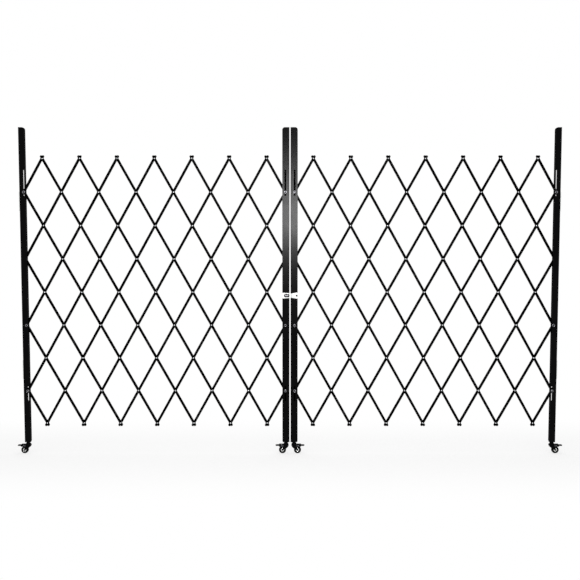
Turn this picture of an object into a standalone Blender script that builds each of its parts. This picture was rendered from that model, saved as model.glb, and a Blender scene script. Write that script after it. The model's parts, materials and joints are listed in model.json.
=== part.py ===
"""Double folding security gate.

Two scissor lattices of steel channel bars hang between channel posts and meet in the middle of an opening.
The outer post of each half is screwed to a wall, the inner one, the lead post, rolls on a caster.
X runs along the gate, Y away from the viewer and Z up. The origin is on the floor in the middle of the gate.
Every length is in metres.
"""

import math

import bmesh
import bpy
from mathutils import Matrix, Vector

# Whole gate
halves = (("left", -1), ("right", 1))
post_gap = 0.0065
running_gap = 0.0003

# Lattice: columns of crossings from the wall post, rows from the top
column_steps = 14
row_steps = 8
rivet_pitch = 0.2128
open_half_angle = math.radians(29.17)
fixed_row = 5
sliding_rows = (1, 7)

# Lattice bars
bar_width = 0.0142
bar_depth = 0.006
bar_wall = 0.0012
bar_overhang = 0.019
bar_end_steps = 3
fold_clearance = 0.0014

# Rivets at the crossings
rivet_radius = 0.0025
rivet_head_side_room = 0.0014
rivet_head_top_share = 0.62
rivet_head_height = 0.0022
rivet_sides = 6

# Large rivets that hold the lattice in the posts
post_rivet_radius = 0.0032
post_rivet_head_radius = 0.0073
post_rivet_head_height = 0.0022
post_rivet_eye_radius = 0.0032
post_rivet_eye_depth = 0.0014
post_rivet_sides = 8

# Posts
wall_post_width = 0.034
lead_post_width = 0.0395
post_wall = 0.0015
post_side_room = 0.00235
post_head_room = 0.017
post_corner_radius = 0.0085
post_corner_steps = 3
wall_rivet_offset = 0.0065
lead_rivet_offset = 0.003
slot_side_clearance = 0.0008
slot_end_room = 0.008
slot_spread_per_row = 0.00775
slot_end_steps = 3
foot_plate = 0.0022
foot_plate_room = 0.0058

# Plates that carry a wall post on its wall
wall_plate_length = 0.106
wall_plate_thickness = 0.004
wall_plate_depth = 0.019
wall_plate_shares = (0.2347, 0.7688)
wall_screw_radius = 0.003
wall_screw_spacing = 0.070
wall_screw_sides = 8

# Casters
wheel_radius = 0.020
wheel_width = 0.016
wheel_trail = 0.0195
wheel_top_room = 0.0102
wheel_sides = 16
hub_boss_radius = 0.0055
hub_recess = 0.0024
hub_recess_radius = 0.0095
hub_rim_radius = 0.0135
tyre_shoulder = 0.003
neck_radius = 0.011
neck_height = 0.006
raceway_radius = 0.015
raceway_height = 0.006
raceway_sides = 12
kingpin_radius = 0.004
kingpin_head_radius = 0.0062
kingpin_head_height = 0.002
kingpin_sides = 8
fork_wall = 0.002
fork_side_gap = 0.0015
fork_nose = 0.0153
fork_nose_skirt = 0.0062
fork_belly = 0.0065
fork_belly_share = 0.52
fork_tail_room = 0.0145
fork_tail_skirt = 0.0135
fork_leg_width = 0.0115
fork_eye_radius = 0.0055
fork_eye_steps = 6
axle_radius = 0.003
axle_head_radius = 0.0052
axle_head_height = 0.0024
axle_sides = 8

# Brake pedals
pedal_pin_radius = 0.0018
pedal_pin_back = 0.0045
pedal_pin_sides = 6
pedal_crown_gap = 0.0008
pedal_hub_radius = 0.004
pedal_reach = 0.0345
pedal_thickness = 0.0026
pedal_side_gap = 0.0008
pedal_droop = 0.0014
shoe_gap = 0.0004
brake_angle = math.radians(20)
pedal_hub_steps = 4

# Hasp: both plates widen away from the hinge and end past the posts
hasp_height_share = 0.4718
hasp_plate = 0.0015
hasp_hinge_width = 0.0255
leaf_end_width = 0.0345
strap_end_width = 0.0325
hasp_past_post = 0.0018
hasp_axis_x = 0.0084
hasp_corner_radius = 0.003
hasp_corner_steps = 2
knuckle_radius = 0.003
knuckle_end_room = 0.001
knuckle_middle_share = 0.46
knuckle_sides = 10
hasp_pin_radius = 0.0013
hasp_pin_sides = 8
lock_slot_length = 0.031
lock_slot_width = 0.0195
lock_slot_post_share = 0.3737
lock_eye_length = 0.024
lock_eye_width = 0.0058
lock_bar_width = 0.0074
lock_end_steps = 5
leaf_bolt_post_share = 0.855
leaf_bolt_radius = 0.0028
leaf_bolt_head_radius = 0.0052
leaf_bolt_head_height = 0.0024
leaf_bolt_sides = 8

# What every cut runs past the face that it leaves, and what every join sinks in
overrun = 0.002
join_depth = 0.0006

# Edges that turn further than this are shown sharp
sharp_edge = math.radians(32)

# Places along the gate
column_pitch = rivet_pitch * math.sin(open_half_angle)
lead_post_x = (post_gap + lead_post_width) / 2
lead_rivet_x = lead_post_x + lead_rivet_offset
wall_rivet_x = lead_rivet_x + column_steps * column_pitch
wall_post_x = wall_rivet_x + wall_rivet_offset

# Places through its depth
layer_face = running_gap / 2
rear_web_back = layer_face + bar_wall
rear_head_face = rear_web_back + running_gap
rivet_head_radius = bar_width / 2 - bar_wall - rivet_head_side_room
rivet_head_top_radius = rivet_head_radius * rivet_head_top_share
post_back = layer_face + bar_depth + post_side_room + post_wall
post_front = -post_back
hasp_back = post_front - running_gap
hasp_front = hasp_back - hasp_plate
hasp_axis_y = hasp_back - knuckle_radius

# Heights in a caster, from the foot of its post down
crown_top = -(neck_height + running_gap + raceway_height)
crown_bottom = crown_top - fork_wall
axle_drop = wheel_radius + wheel_top_room - crown_bottom
caster_height = wheel_radius + axle_drop
fork_inner = wheel_width / 2 + fork_side_gap
fork_outer = fork_inner + fork_wall
fork_tail = wheel_trail + fork_eye_radius + fork_tail_room

# Heights in the lattice: folded, its lowest tips just clear the foot plates
row_pitch = rivet_pitch * math.cos(open_half_angle)
folded_half_angle = math.asin((bar_width + fold_clearance) / rivet_pitch) / 2
folded_row_pitch = rivet_pitch * math.cos(folded_half_angle)
rows_below = row_steps - fixed_row
lowest_folded_row = caster_height + foot_plate + foot_plate_room + bar_overhang
fixed_pivot_height = lowest_folded_row + rows_below * folded_row_pitch
overall_height = fixed_pivot_height + fixed_row * folded_row_pitch + bar_overhang + post_head_room
post_length = overall_height - caster_height
hasp_height = caster_height + hasp_height_share * post_length


def remove_everything():
    for old in list(bpy.data.objects):
        bpy.data.objects.remove(old, do_unlink=True)


def make_material(name, colour, metallic, roughness):
    material = bpy.data.materials.new(name)
    material.use_nodes = True
    shader = material.node_tree.nodes["Principled BSDF"]
    shader.inputs["Base Color"].default_value = (*colour, 1)
    shader.inputs["Metallic"].default_value = metallic
    shader.inputs["Roughness"].default_value = roughness
    material.diffuse_color = (*colour, 1)
    return material


def mesh_from(bm):
    bmesh.ops.recalc_face_normals(bm, faces=bm.faces)
    mesh = bpy.data.meshes.new("shape")
    bm.to_mesh(mesh)
    bm.free()
    return mesh


def along(axis, a, b, t):
    """A point from two outline coordinates and its place along the axis that the outline is pushed along."""
    if axis == "X":
        return Vector((t, a, b))
    if axis == "Y":
        return Vector((a, t, b))
    return Vector((a, b, t))


def prism(outline, low, high, axis):
    """An outline pushed from low to high along an axis. Its points are (y, z), (x, z) or (x, y)."""
    bm = bmesh.new()
    ends = [[bm.verts.new(along(axis, a, b, t)) for a, b in outline] for t in (low, high)]
    bm.faces.new(ends[0])
    bm.faces.new(reversed(ends[1]))
    count = len(outline)
    for k in range(count):
        step = (k + 1) % count
        bm.faces.new((ends[0][k], ends[1][k], ends[1][step], ends[0][step]))
    return mesh_from(bm)


def turned(profile, sides, axis, centre=(0, 0), first_angle=0.0):
    """A profile of (radius, place) points turned about an axis through centre, with flat ends."""
    bm = bmesh.new()
    rings = []
    for radius, place in profile:
        ring = []
        for k in range(sides):
            angle = first_angle + 2 * math.pi * k / sides
            a = centre[0] + radius * math.cos(angle)
            b = centre[1] + radius * math.sin(angle)
            ring.append(bm.verts.new(along(axis, a, b, place)))
        rings.append(ring)
    bm.faces.new(rings[0])
    bm.faces.new(reversed(rings[-1]))
    for ring, following in zip(rings, rings[1:]):
        for k in range(sides):
            step = (k + 1) % sides
            bm.faces.new((ring[k], following[k], following[step], ring[step]))
    return mesh_from(bm)


def box(low, high):
    corners = [(low[0], low[1]), (high[0], low[1]), (high[0], high[1]), (low[0], high[1])]
    return prism(corners, low[2], high[2], "Z")


def arc(centre, radius, start, end, steps):
    return [
        (
            centre[0] + radius * math.cos(start + (end - start) * k / steps),
            centre[1] + radius * math.sin(start + (end - start) * k / steps),
        )
        for k in range(steps + 1)
    ]


def corner(centre, radius, sideways, up, steps):
    """A rounded corner's points, from its top or bottom round to its side. sideways and up are +1 or -1."""
    return [
        (centre[0] + sideways * radius * math.sin(turn), centre[1] + up * radius * math.cos(turn))
        for turn in (math.pi / 2 * k / steps for k in range(steps + 1))
    ]


def obround(low, high, half_width, steps, middle=0.0):
    """A slot's outline that stands upright, with its round ends centred on low and high."""
    top = arc((middle, high), half_width, 0, math.pi, steps)
    bottom = arc((middle, low), half_width, math.pi, 2 * math.pi, steps)
    return top + bottom


def one_mesh(meshes):
    """Several shapes in one mesh, still separate from each other."""
    bm = bmesh.new()
    for mesh in meshes:
        bm.from_mesh(mesh)
    joined = bpy.data.meshes.new("shapes")
    bm.to_mesh(joined)
    bm.free()
    return joined


def worked(base, steps):
    """The base mesh after a list of (operation, shapes) steps, DIFFERENCE to cut and UNION to join."""
    blank = bpy.data.objects.new("blank", base)
    bpy.context.scene.collection.objects.link(blank)
    tools = []
    for operation, shapes in steps:
        if not shapes:
            continue
        tool = bpy.data.objects.new("tool", one_mesh(shapes))
        bpy.context.scene.collection.objects.link(tool)
        tools.append(tool)
        modifier = blank.modifiers.new(operation, "BOOLEAN")
        modifier.operation = operation
        modifier.solver = "EXACT"
        modifier.object = tool
    graph = bpy.context.evaluated_depsgraph_get()
    result = bpy.data.meshes.new_from_object(blank.evaluated_get(graph))
    for done in [blank, *tools]:
        bpy.data.objects.remove(done, do_unlink=True)
    return result


def add(name, mesh, material, place=(0, 0, 0), turn_y=0.0, turn_z=0.0):
    """An object for one finished piece, shaded smooth over its round faces."""
    mesh.materials.clear()
    mesh.materials.append(material)
    mesh.shade_smooth()
    mesh.set_sharp_from_angle(angle=sharp_edge)
    piece = bpy.data.objects.new(name, mesh)
    piece.location = place
    piece.rotation_euler = (0, turn_y, turn_z)
    bpy.context.scene.collection.objects.link(piece)
    return piece


def carry(parent, piece):
    """Hang a placed piece on another, where it is."""
    bpy.context.view_layer.update()
    piece.parent = parent
    piece.matrix_parent_inverse = parent.matrix_world.inverted()


def crossing(side, column, row):
    """The middle of a crossing, with columns counted from the wall post and rows from the top."""
    x = side * (wall_rivet_x - column * column_pitch)
    return Vector((x, 0, fixed_pivot_height + (fixed_row - row) * row_pitch))


# A front bar joins the crossings with one sum of column and row, and rises towards the lead post.
# A rear bar joins those with one difference, and falls towards it.
front_sums = range(1, column_steps + row_steps, 2)
rear_differences = range(1 - row_steps, column_steps, 2)


def front_crossings(total):
    columns = range(max(0, total - row_steps), min(column_steps, total) + 1)
    return [(column, total - column) for column in columns]


def rear_crossings(difference):
    columns = range(max(0, difference), min(column_steps, difference + row_steps) + 1)
    return [(column, column - difference) for column in columns]


def front_joint_column(total):
    """The column where a front bar hangs on the bar that moves it, as the fold spreads from the wall post."""
    if total == fixed_row:
        return 0
    if total > fixed_row:
        return (total + fixed_row) // 2
    return (total + 1) // 2


def rear_joint_column(difference):
    if difference > fixed_row:
        return difference
    return max(0, (fixed_row + difference) // 2)


def rivet(place):
    """A crossing's rivet, its front head in the front bar's channel and its rear head in the rear bar's."""
    head_top = -(layer_face + bar_wall + rivet_head_height)
    web_middle = -(layer_face + bar_wall / 2)
    rear_head_end = rear_head_face + rivet_head_height
    profile = [
        (rivet_head_top_radius, head_top),
        (rivet_head_radius, web_middle),
        (rivet_radius, web_middle),
        (rivet_radius, rear_head_face),
        (rivet_head_radius, rear_head_face),
        (rivet_head_top_radius, rear_head_end),
    ]
    return turned(profile, rivet_sides, "Y", (0, place), math.pi / 2)


def post_rivet(centre, front_face, rear_face, rear_head_radius):
    """A tubular rivet with a rolled, hollow head at its front and a plain head at its rear."""
    front_end = front_face - post_rivet_head_height
    profile = [
        (post_rivet_eye_radius, front_end + post_rivet_eye_depth),
        (post_rivet_eye_radius, front_end),
        (post_rivet_head_radius, front_end),
        (post_rivet_head_radius, front_face),
        (post_rivet_radius, front_face),
        (post_rivet_radius, rear_face),
        (rear_head_radius, rear_face),
        (rear_head_radius * rivet_head_top_share, rear_face + post_rivet_head_height),
    ]
    return turned(profile, post_rivet_sides, "Y", centre, math.pi / post_rivet_sides)


def sliding_rivet(place, at_wall):
    """A rivet that slides in the slots of a post. In a lead post it ends behind the rear bar."""
    front_face = post_front - running_gap
    if at_wall:
        return post_rivet((0, place), front_face, post_back + running_gap, post_rivet_head_radius)
    return post_rivet((0, place), front_face, rear_head_face, rivet_head_radius)


def bore_radius(pin_radius, sides):
    """The corner radius of a many-sided bore that a round pin turns in with the running gap."""
    return pin_radius / math.cos(math.pi / sides) + running_gap


def hole(place, pin_radius, sides, depth_side):
    """A cutter through a bar's web that a rivet's shank turns in."""
    radius = bore_radius(pin_radius, sides)
    first_angle = math.pi / 2 if sides == rivet_sides else math.pi / sides
    near, far = sorted((-depth_side * overrun, depth_side * (rear_web_back + overrun)))
    return turned([(radius, near), (radius, far)], sides, "Y", (0, place), first_angle)


def is_post_column(column):
    return column in (0, column_steps)


def bar_blank(low, high, depth_side):
    """A channel bar with round ends, its web at the middle of the lattice and its open side outwards."""
    half = bar_width / 2
    outline = obround(low - bar_overhang + half, high + bar_overhang - half, half, bar_end_steps)
    near, far = sorted((depth_side * layer_face, depth_side * (layer_face + bar_depth)))
    blank = prism(outline, near, far, "Y")
    inner = half - bar_wall
    start = depth_side * rear_web_back
    end = depth_side * (layer_face + bar_depth + overrun)
    near, far = sorted((start, end))
    length_low = low - bar_overhang - overrun
    length_high = high + bar_overhang + overrun
    return blank, box((-inner, near, length_low), (inner, far, length_high))


def front_bar_mesh(crossings, joint_column):
    places = [(column, row, (column - joint_column) * rivet_pitch) for column, row in crossings]
    blank, channel = bar_blank(places[0][2], places[-1][2], -1)
    rivets, holes = [], []
    for column, row, place in places:
        if is_post_column(column) and row == fixed_row:
            holes.append(hole(place, post_rivet_radius, post_rivet_sides, -1))
        elif is_post_column(column) and row in sliding_rows:
            rivets.append(sliding_rivet(place, column == 0))
        else:
            rivets.append(rivet(place))
    steps = [("DIFFERENCE", [channel]), ("DIFFERENCE", holes), ("UNION", rivets)]
    return worked(blank, steps)


def rear_bar_mesh(crossings, joint_column):
    """A rear bar falls towards the lead post, so its crossings lie the other way along it."""
    places = [(column, row, (joint_column - column) * rivet_pitch) for column, row in crossings]
    blank, channel = bar_blank(places[-1][2], places[0][2], 1)
    holes = []
    for column, row, place in places:
        if is_post_column(column) and (row == fixed_row or row in sliding_rows):
            holes.append(hole(place, post_rivet_radius, post_rivet_sides, 1))
        else:
            holes.append(hole(place, rivet_radius, rivet_sides, 1))
    return worked(blank, [("DIFFERENCE", [channel]), ("DIFFERENCE", holes)])


def add_lattice(material):
    """Both halves share each bar's mesh: a bar's channel and rivets look the same from either side."""
    for number, total in enumerate(front_sums, 1):
        column = front_joint_column(total)
        mesh = front_bar_mesh(front_crossings(total), column)
        for half, side in halves:
            place = crossing(side, column, total - column)
            add(f"{half}_front_bar_{number:02d}", mesh, material, place, -side * open_half_angle)
    for number, difference in enumerate(rear_differences, 1):
        column = rear_joint_column(difference)
        mesh = rear_bar_mesh(rear_crossings(difference), column)
        for half, side in halves:
            place = crossing(side, column, column - difference)
            add(f"{half}_rear_bar_{number:02d}", mesh, material, place, side * open_half_angle)


def post_blank(post_x, post_width, open_side):
    """A channel post, open towards open_side, +1 or -1 along X, and the cutter for its channel.

    A foot plate closes its lower end. The flanges' corners are rounded on the open side.
    """
    web = post_x - open_side * post_width / 2
    lip = post_x + open_side * post_width / 2
    inset = lip - open_side * post_corner_radius
    foot_centre = (inset, caster_height + post_corner_radius)
    top_centre = (inset, overall_height - post_corner_radius)
    foot = corner(foot_centre, post_corner_radius, open_side, -1, post_corner_steps)
    top = corner(top_centre, post_corner_radius, open_side, 1, post_corner_steps)
    outline = [(web, caster_height), *foot, *reversed(top), (web, overall_height)]
    blank = prism(outline, post_front, post_back, "Y")
    near, far = sorted((web + open_side * post_wall, lip + open_side * overrun))
    inner = post_back - post_wall
    floor = caster_height + foot_plate
    channel = box((near, -inner, floor), (far, inner, overall_height + overrun))
    return blank, channel


def slots(rivet_x, through):
    """Cutters for the slots that the sliding rivets of a post run in, as the lattice folds and spreads."""
    cutters = []
    half_width = post_rivet_radius + slot_side_clearance
    end = post_back + overrun if through else 0
    for row in sliding_rows:
        rest = fixed_pivot_height + (fixed_row - row) * row_pitch
        folded = fixed_pivot_height + (fixed_row - row) * folded_row_pitch
        spread = rest - (fixed_row - row) * slot_spread_per_row
        low, high = sorted((folded, spread))
        outline = obround(low - slot_end_room, high + slot_end_room, half_width, slot_end_steps, rivet_x)
        cutters.append(prism(outline, post_front - overrun, end, "Y"))
    return cutters


def fixed_rivet(rivet_x):
    """The rivet that a post carries the lattice on, closed on both flanges."""
    centre = (rivet_x, fixed_pivot_height)
    return post_rivet(centre, post_front + join_depth, post_back - join_depth, post_rivet_head_radius)


def neck_and_kingpin(post_x):
    """The caster's neck under the foot plate and the kingpin that its fork turns on."""
    neck_foot = caster_height - neck_height
    head_face = caster_height + crown_bottom - running_gap
    neck = turned(
        [(neck_radius, caster_height + join_depth), (neck_radius, neck_foot)],
        raceway_sides,
        "Z",
        (post_x, 0),
    )
    kingpin = turned(
        [
            (kingpin_radius, neck_foot + join_depth),
            (kingpin_radius, head_face),
            (kingpin_head_radius, head_face),
            (kingpin_head_radius, head_face - kingpin_head_height),
        ],
        kingpin_sides,
        "Z",
        (post_x, 0),
    )
    return neck, kingpin


def wall_plates(side):
    """The plates welded on a wall post's web, and cutters for the screws through plate and web."""
    plates, screws = [], []
    web = wall_post_x + wall_post_width / 2
    inner, outer = side * (web - join_depth), side * (web + wall_plate_thickness)
    near, far = sorted((inner, outer))
    cut_near, cut_far = sorted((side * (web - post_wall - overrun), outer + side * overrun))
    half = wall_plate_depth / 2
    for share in wall_plate_shares:
        height = caster_height + share * post_length
        low = height - wall_plate_length / 2
        plates.append(box((near, -half, low), (far, half, low + wall_plate_length)))
        for end in (-1, 1):
            centre = (0, height + end * wall_screw_spacing / 2)
            ring = [(wall_screw_radius, cut_near), (wall_screw_radius, cut_far)]
            screws.append(turned(ring, wall_screw_sides, "X", centre, math.pi / wall_screw_sides))
    return plates, screws


def add_wall_post(half, side, material):
    blank, channel = post_blank(side * wall_post_x, wall_post_width, -side)
    plates, screws = wall_plates(side)
    neck, kingpin = neck_and_kingpin(side * wall_post_x)
    steps = [
        ("DIFFERENCE", [channel]),
        ("UNION", [*plates, neck]),
        ("UNION", [kingpin, fixed_rivet(side * wall_rivet_x)]),
        ("DIFFERENCE", [*slots(side * wall_rivet_x, True), *screws]),
    ]
    return add(f"{half}_wall_post", worked(blank, steps), material)


def across_lead_post(share):
    """A distance from the middle of the gate to a share of a lead post's width, from its web."""
    return post_gap / 2 + share * lead_post_width


def lock_outline(length, width, rise):
    """An obround that lies on its side where the padlock goes, its middle raised above the hasp's."""
    middle_x = -across_lead_post(lock_slot_post_share)
    half_run = (length - width) / 2
    return [
        (middle_x + along_x, hasp_height + rise + up)
        for up, along_x in obround(-half_run, half_run, width / 2, lock_end_steps)
    ]


def lock_eye_rise():
    """The height of an eye's middle over the bar's, which the padlock's shackle goes round."""
    return (lock_bar_width + lock_eye_width) / 2


def lead_post_mesh(side):
    """A lead post in the gate's own frame, with two eyes for a padlock on the left, a bolt hole on the right."""
    blank, channel = post_blank(side * lead_post_x, lead_post_width, side)
    neck, kingpin = neck_and_kingpin(side * lead_post_x)
    if side < 0:
        rises = (-lock_eye_rise(), lock_eye_rise())
        eyes = [lock_outline(lock_eye_length, lock_eye_width, rise) for rise in rises]
        fastenings = [prism(eye, post_front - overrun, 0, "Y") for eye in eyes]
    else:
        radius = leaf_bolt_radius + running_gap
        ring = [(radius, post_front - overrun), (radius, 0)]
        centre = (across_lead_post(leaf_bolt_post_share), hasp_height)
        fastenings = [turned(ring, leaf_bolt_sides, "Y", centre)]
    steps = [
        ("DIFFERENCE", [channel]),
        ("UNION", [neck]),
        ("UNION", [kingpin, fixed_rivet(side * lead_rivet_x)]),
        ("DIFFERENCE", [*slots(side * lead_rivet_x, False), *fastenings]),
    ]
    return worked(blank, steps)


def add_lead_post(half, side, material):
    """A lead post's origin is on the rivet that it hangs on."""
    mesh = lead_post_mesh(side)
    pivot = crossing(side, column_steps, fixed_row)
    mesh.transform(Matrix.Translation(-pivot))
    return add(f"{half}_lead_post", mesh, material, pivot)


def pedal_centre():
    """The pedal's pin in the fork's frame, as (x, z), behind the axle and just under the crown."""
    return (-(wheel_trail + pedal_pin_back), crown_bottom - pedal_crown_gap - pedal_hub_radius)


def pedal_outline():
    """The brake pedal from the side, about its pin: hub, foot plate and the shoe that meets the tyre."""
    rise = pedal_centre()[1] + axle_drop
    shoe_reach = math.hypot(pedal_pin_back, rise) - wheel_radius - shoe_gap
    towards_wheel = math.atan2(-rise, pedal_pin_back)
    shoe = towards_wheel - brake_angle
    hub = arc((0, 0), pedal_hub_radius, math.pi / 2, towards_wheel, pedal_hub_steps)
    plate_foot = pedal_hub_radius - pedal_thickness
    return [
        *hub,
        (shoe_reach * math.cos(shoe), shoe_reach * math.sin(shoe)),
        (-pedal_hub_radius, -pedal_hub_radius / 2),
        (-pedal_hub_radius - pedal_thickness, plate_foot),
        (-pedal_reach, plate_foot - pedal_droop),
        (-pedal_reach, pedal_hub_radius - pedal_droop),
    ]


def pedal_plate(outline):
    half = fork_inner - pedal_side_gap
    return prism(outline, -half, half, "Y")


def fork_outline():
    """The fork from the side: a crown with skirts, and bellied legs that narrow to the axle's eye."""
    axle = (-wheel_trail, -axle_drop)
    nose_skirt = crown_top - fork_nose_skirt
    tail_skirt = crown_top - fork_tail_skirt
    eye = arc(axle, fork_eye_radius, 0, -math.pi, fork_eye_steps)
    eye_front = axle[0] + fork_eye_radius
    belly = (
        fork_nose + fork_belly_share * (eye_front - fork_nose) + fork_belly,
        nose_skirt + fork_belly_share * (axle[1] - nose_skirt),
    )
    leg_back = (belly[0] - fork_leg_width - fork_belly, tail_skirt)
    return [
        (-fork_tail, crown_top),
        (fork_nose, crown_top),
        (fork_nose, nose_skirt),
        belly,
        *eye,
        leg_back,
        (-fork_tail, tail_skirt),
    ]


def headed_pin(centre, radius, head_radius, head_height, sides):
    """A pin across the fork, with a head outside each leg."""
    inner = fork_outer - join_depth
    outer = fork_outer + head_height
    profile = [
        (head_radius, -outer),
        (head_radius, -inner),
        (radius, -inner),
        (radius, inner),
        (head_radius, inner),
        (head_radius, outer),
    ]
    return turned(profile, sides, "Y", centre, math.pi / sides)


def fork_mesh(with_pedal):
    """A caster's fork about its kingpin, level with the post's foot. The wheel trails along -X."""
    blank = prism(fork_outline(), -fork_outer, fork_outer, "Y")
    floor = -caster_height
    inside = box(
        (-fork_tail - overrun, -fork_inner, floor),
        (fork_nose + overrun, fork_inner, crown_bottom),
    )
    raceway = turned(
        [(raceway_radius, crown_top + raceway_height), (raceway_radius, crown_top - join_depth)],
        raceway_sides,
        "Z",
    )
    radius = bore_radius(kingpin_radius, kingpin_sides)
    bore_ends = (crown_top + raceway_height + overrun, crown_bottom - overrun)
    bore = turned([(radius, end) for end in bore_ends], kingpin_sides, "Z")
    axle = headed_pin(
        (-wheel_trail, -axle_drop), axle_radius, axle_head_radius, axle_head_height, axle_sides
    )
    pin_x, pin_z = pedal_centre()
    pin = headed_pin(
        (pin_x, pin_z), pedal_pin_radius, pedal_pin_radius + join_depth, join_depth, pedal_pin_sides
    )
    joined = [raceway, axle, pin]
    steps = [("DIFFERENCE", [inside]), ("UNION", joined), ("DIFFERENCE", [bore])]
    if with_pedal:
        outline = [(pin_x + x, pin_z + z) for x, z in pedal_outline()]
        steps.append(("UNION", [pedal_plate(outline)]))
    return worked(blank, steps)


def pedal_mesh():
    """A brake pedal about its pin, with the bore that it turns on."""
    radius = bore_radius(pedal_pin_radius, pedal_pin_sides)
    half = fork_inner + overrun
    first_angle = math.pi / pedal_pin_sides
    bore = turned([(radius, -half), (radius, half)], pedal_pin_sides, "Y", (0, 0), first_angle)
    return worked(pedal_plate(pedal_outline()), [("DIFFERENCE", [bore])])


def wheel_mesh():
    """A caster's wheel about its axle: a tyre with sloped shoulders, and a hub that dips from rim to boss."""
    half = wheel_width / 2
    one_side = [
        (bore_radius(axle_radius, axle_sides), half),
        (hub_boss_radius, half),
        (hub_recess_radius, half - hub_recess),
        (hub_rim_radius, half),
        (wheel_radius - tyre_shoulder, half),
        (wheel_radius, half - tyre_shoulder),
    ]
    profile = one_side + [(radius, -place) for radius, place in reversed(one_side)]
    bm = bmesh.new()
    rings = []
    for radius, place in profile:
        angles = [2 * math.pi * k / wheel_sides for k in range(wheel_sides)]
        rings.append(
            [bm.verts.new((radius * math.cos(a), place, radius * math.sin(a))) for a in angles]
        )
    for index, ring in enumerate(rings):
        following = rings[(index + 1) % len(rings)]
        for k in range(wheel_sides):
            step = (k + 1) % wheel_sides
            bm.faces.new((ring[k], following[k], following[step], ring[step]))
    return mesh_from(bm)


def add_caster(half, side, post_kind, post, materials):
    """A caster under a post. Its wheel trails away from the middle of the gate."""
    post_x = side * (wall_post_x if post_kind == "wall" else lead_post_x)
    turn = 0 if side < 0 else math.pi
    name = f"{half}_{post_kind}_caster"
    fork_place = Vector((post_x, 0, caster_height))
    fork = add(f"{name}_fork", fork_mesh(post_kind == "wall"), materials["fork"], fork_place, 0, turn)
    axle_place = fork_place + Vector((side * wheel_trail, 0, -axle_drop))
    wheel = add(f"{name}_wheel", wheel_mesh(), materials["wheel"], axle_place, 0, turn)
    carry(post, fork)
    carry(fork, wheel)
    if post_kind == "lead":
        pin_x, pin_z = pedal_centre()
        place = fork_place + Vector((-side * pin_x, 0, pin_z))
        pedal = add(f"{half}_lead_brake_pedal", pedal_mesh(), materials["fork"], place, 0, turn)
        carry(fork, pedal)


def knuckle(low, high):
    centre = (hasp_axis_x, hasp_axis_y)
    return turned([(knuckle_radius, low), (knuckle_radius, high)], knuckle_sides, "Z", centre)


def hasp_plate_outline(way, end_width):
    """A plate from the hinge past a lead post, way +1 or -1 along X, with round corners at its wide end."""
    radius = hasp_corner_radius
    inset = way * (across_lead_post(1) + hasp_past_post - radius)
    reach = end_width / 2 - radius
    lower = corner((inset, hasp_height - reach), radius, way, -1, hasp_corner_steps)
    upper = corner((inset, hasp_height + reach), radius, way, 1, hasp_corner_steps)
    low, high = hasp_height - hasp_hinge_width / 2, hasp_height + hasp_hinge_width / 2
    return [(hasp_axis_x, low), *lower, *reversed(upper), (hasp_axis_x, high)]


def room_beside(x_low, x_high, z_low, z_high):
    """A cutter through a hasp plate that makes room for a knuckle, or trims the plate to one."""
    return box(
        (x_low, hasp_axis_y - knuckle_radius - overrun, z_low),
        (x_high, hasp_back + overrun, z_high),
    )


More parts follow.
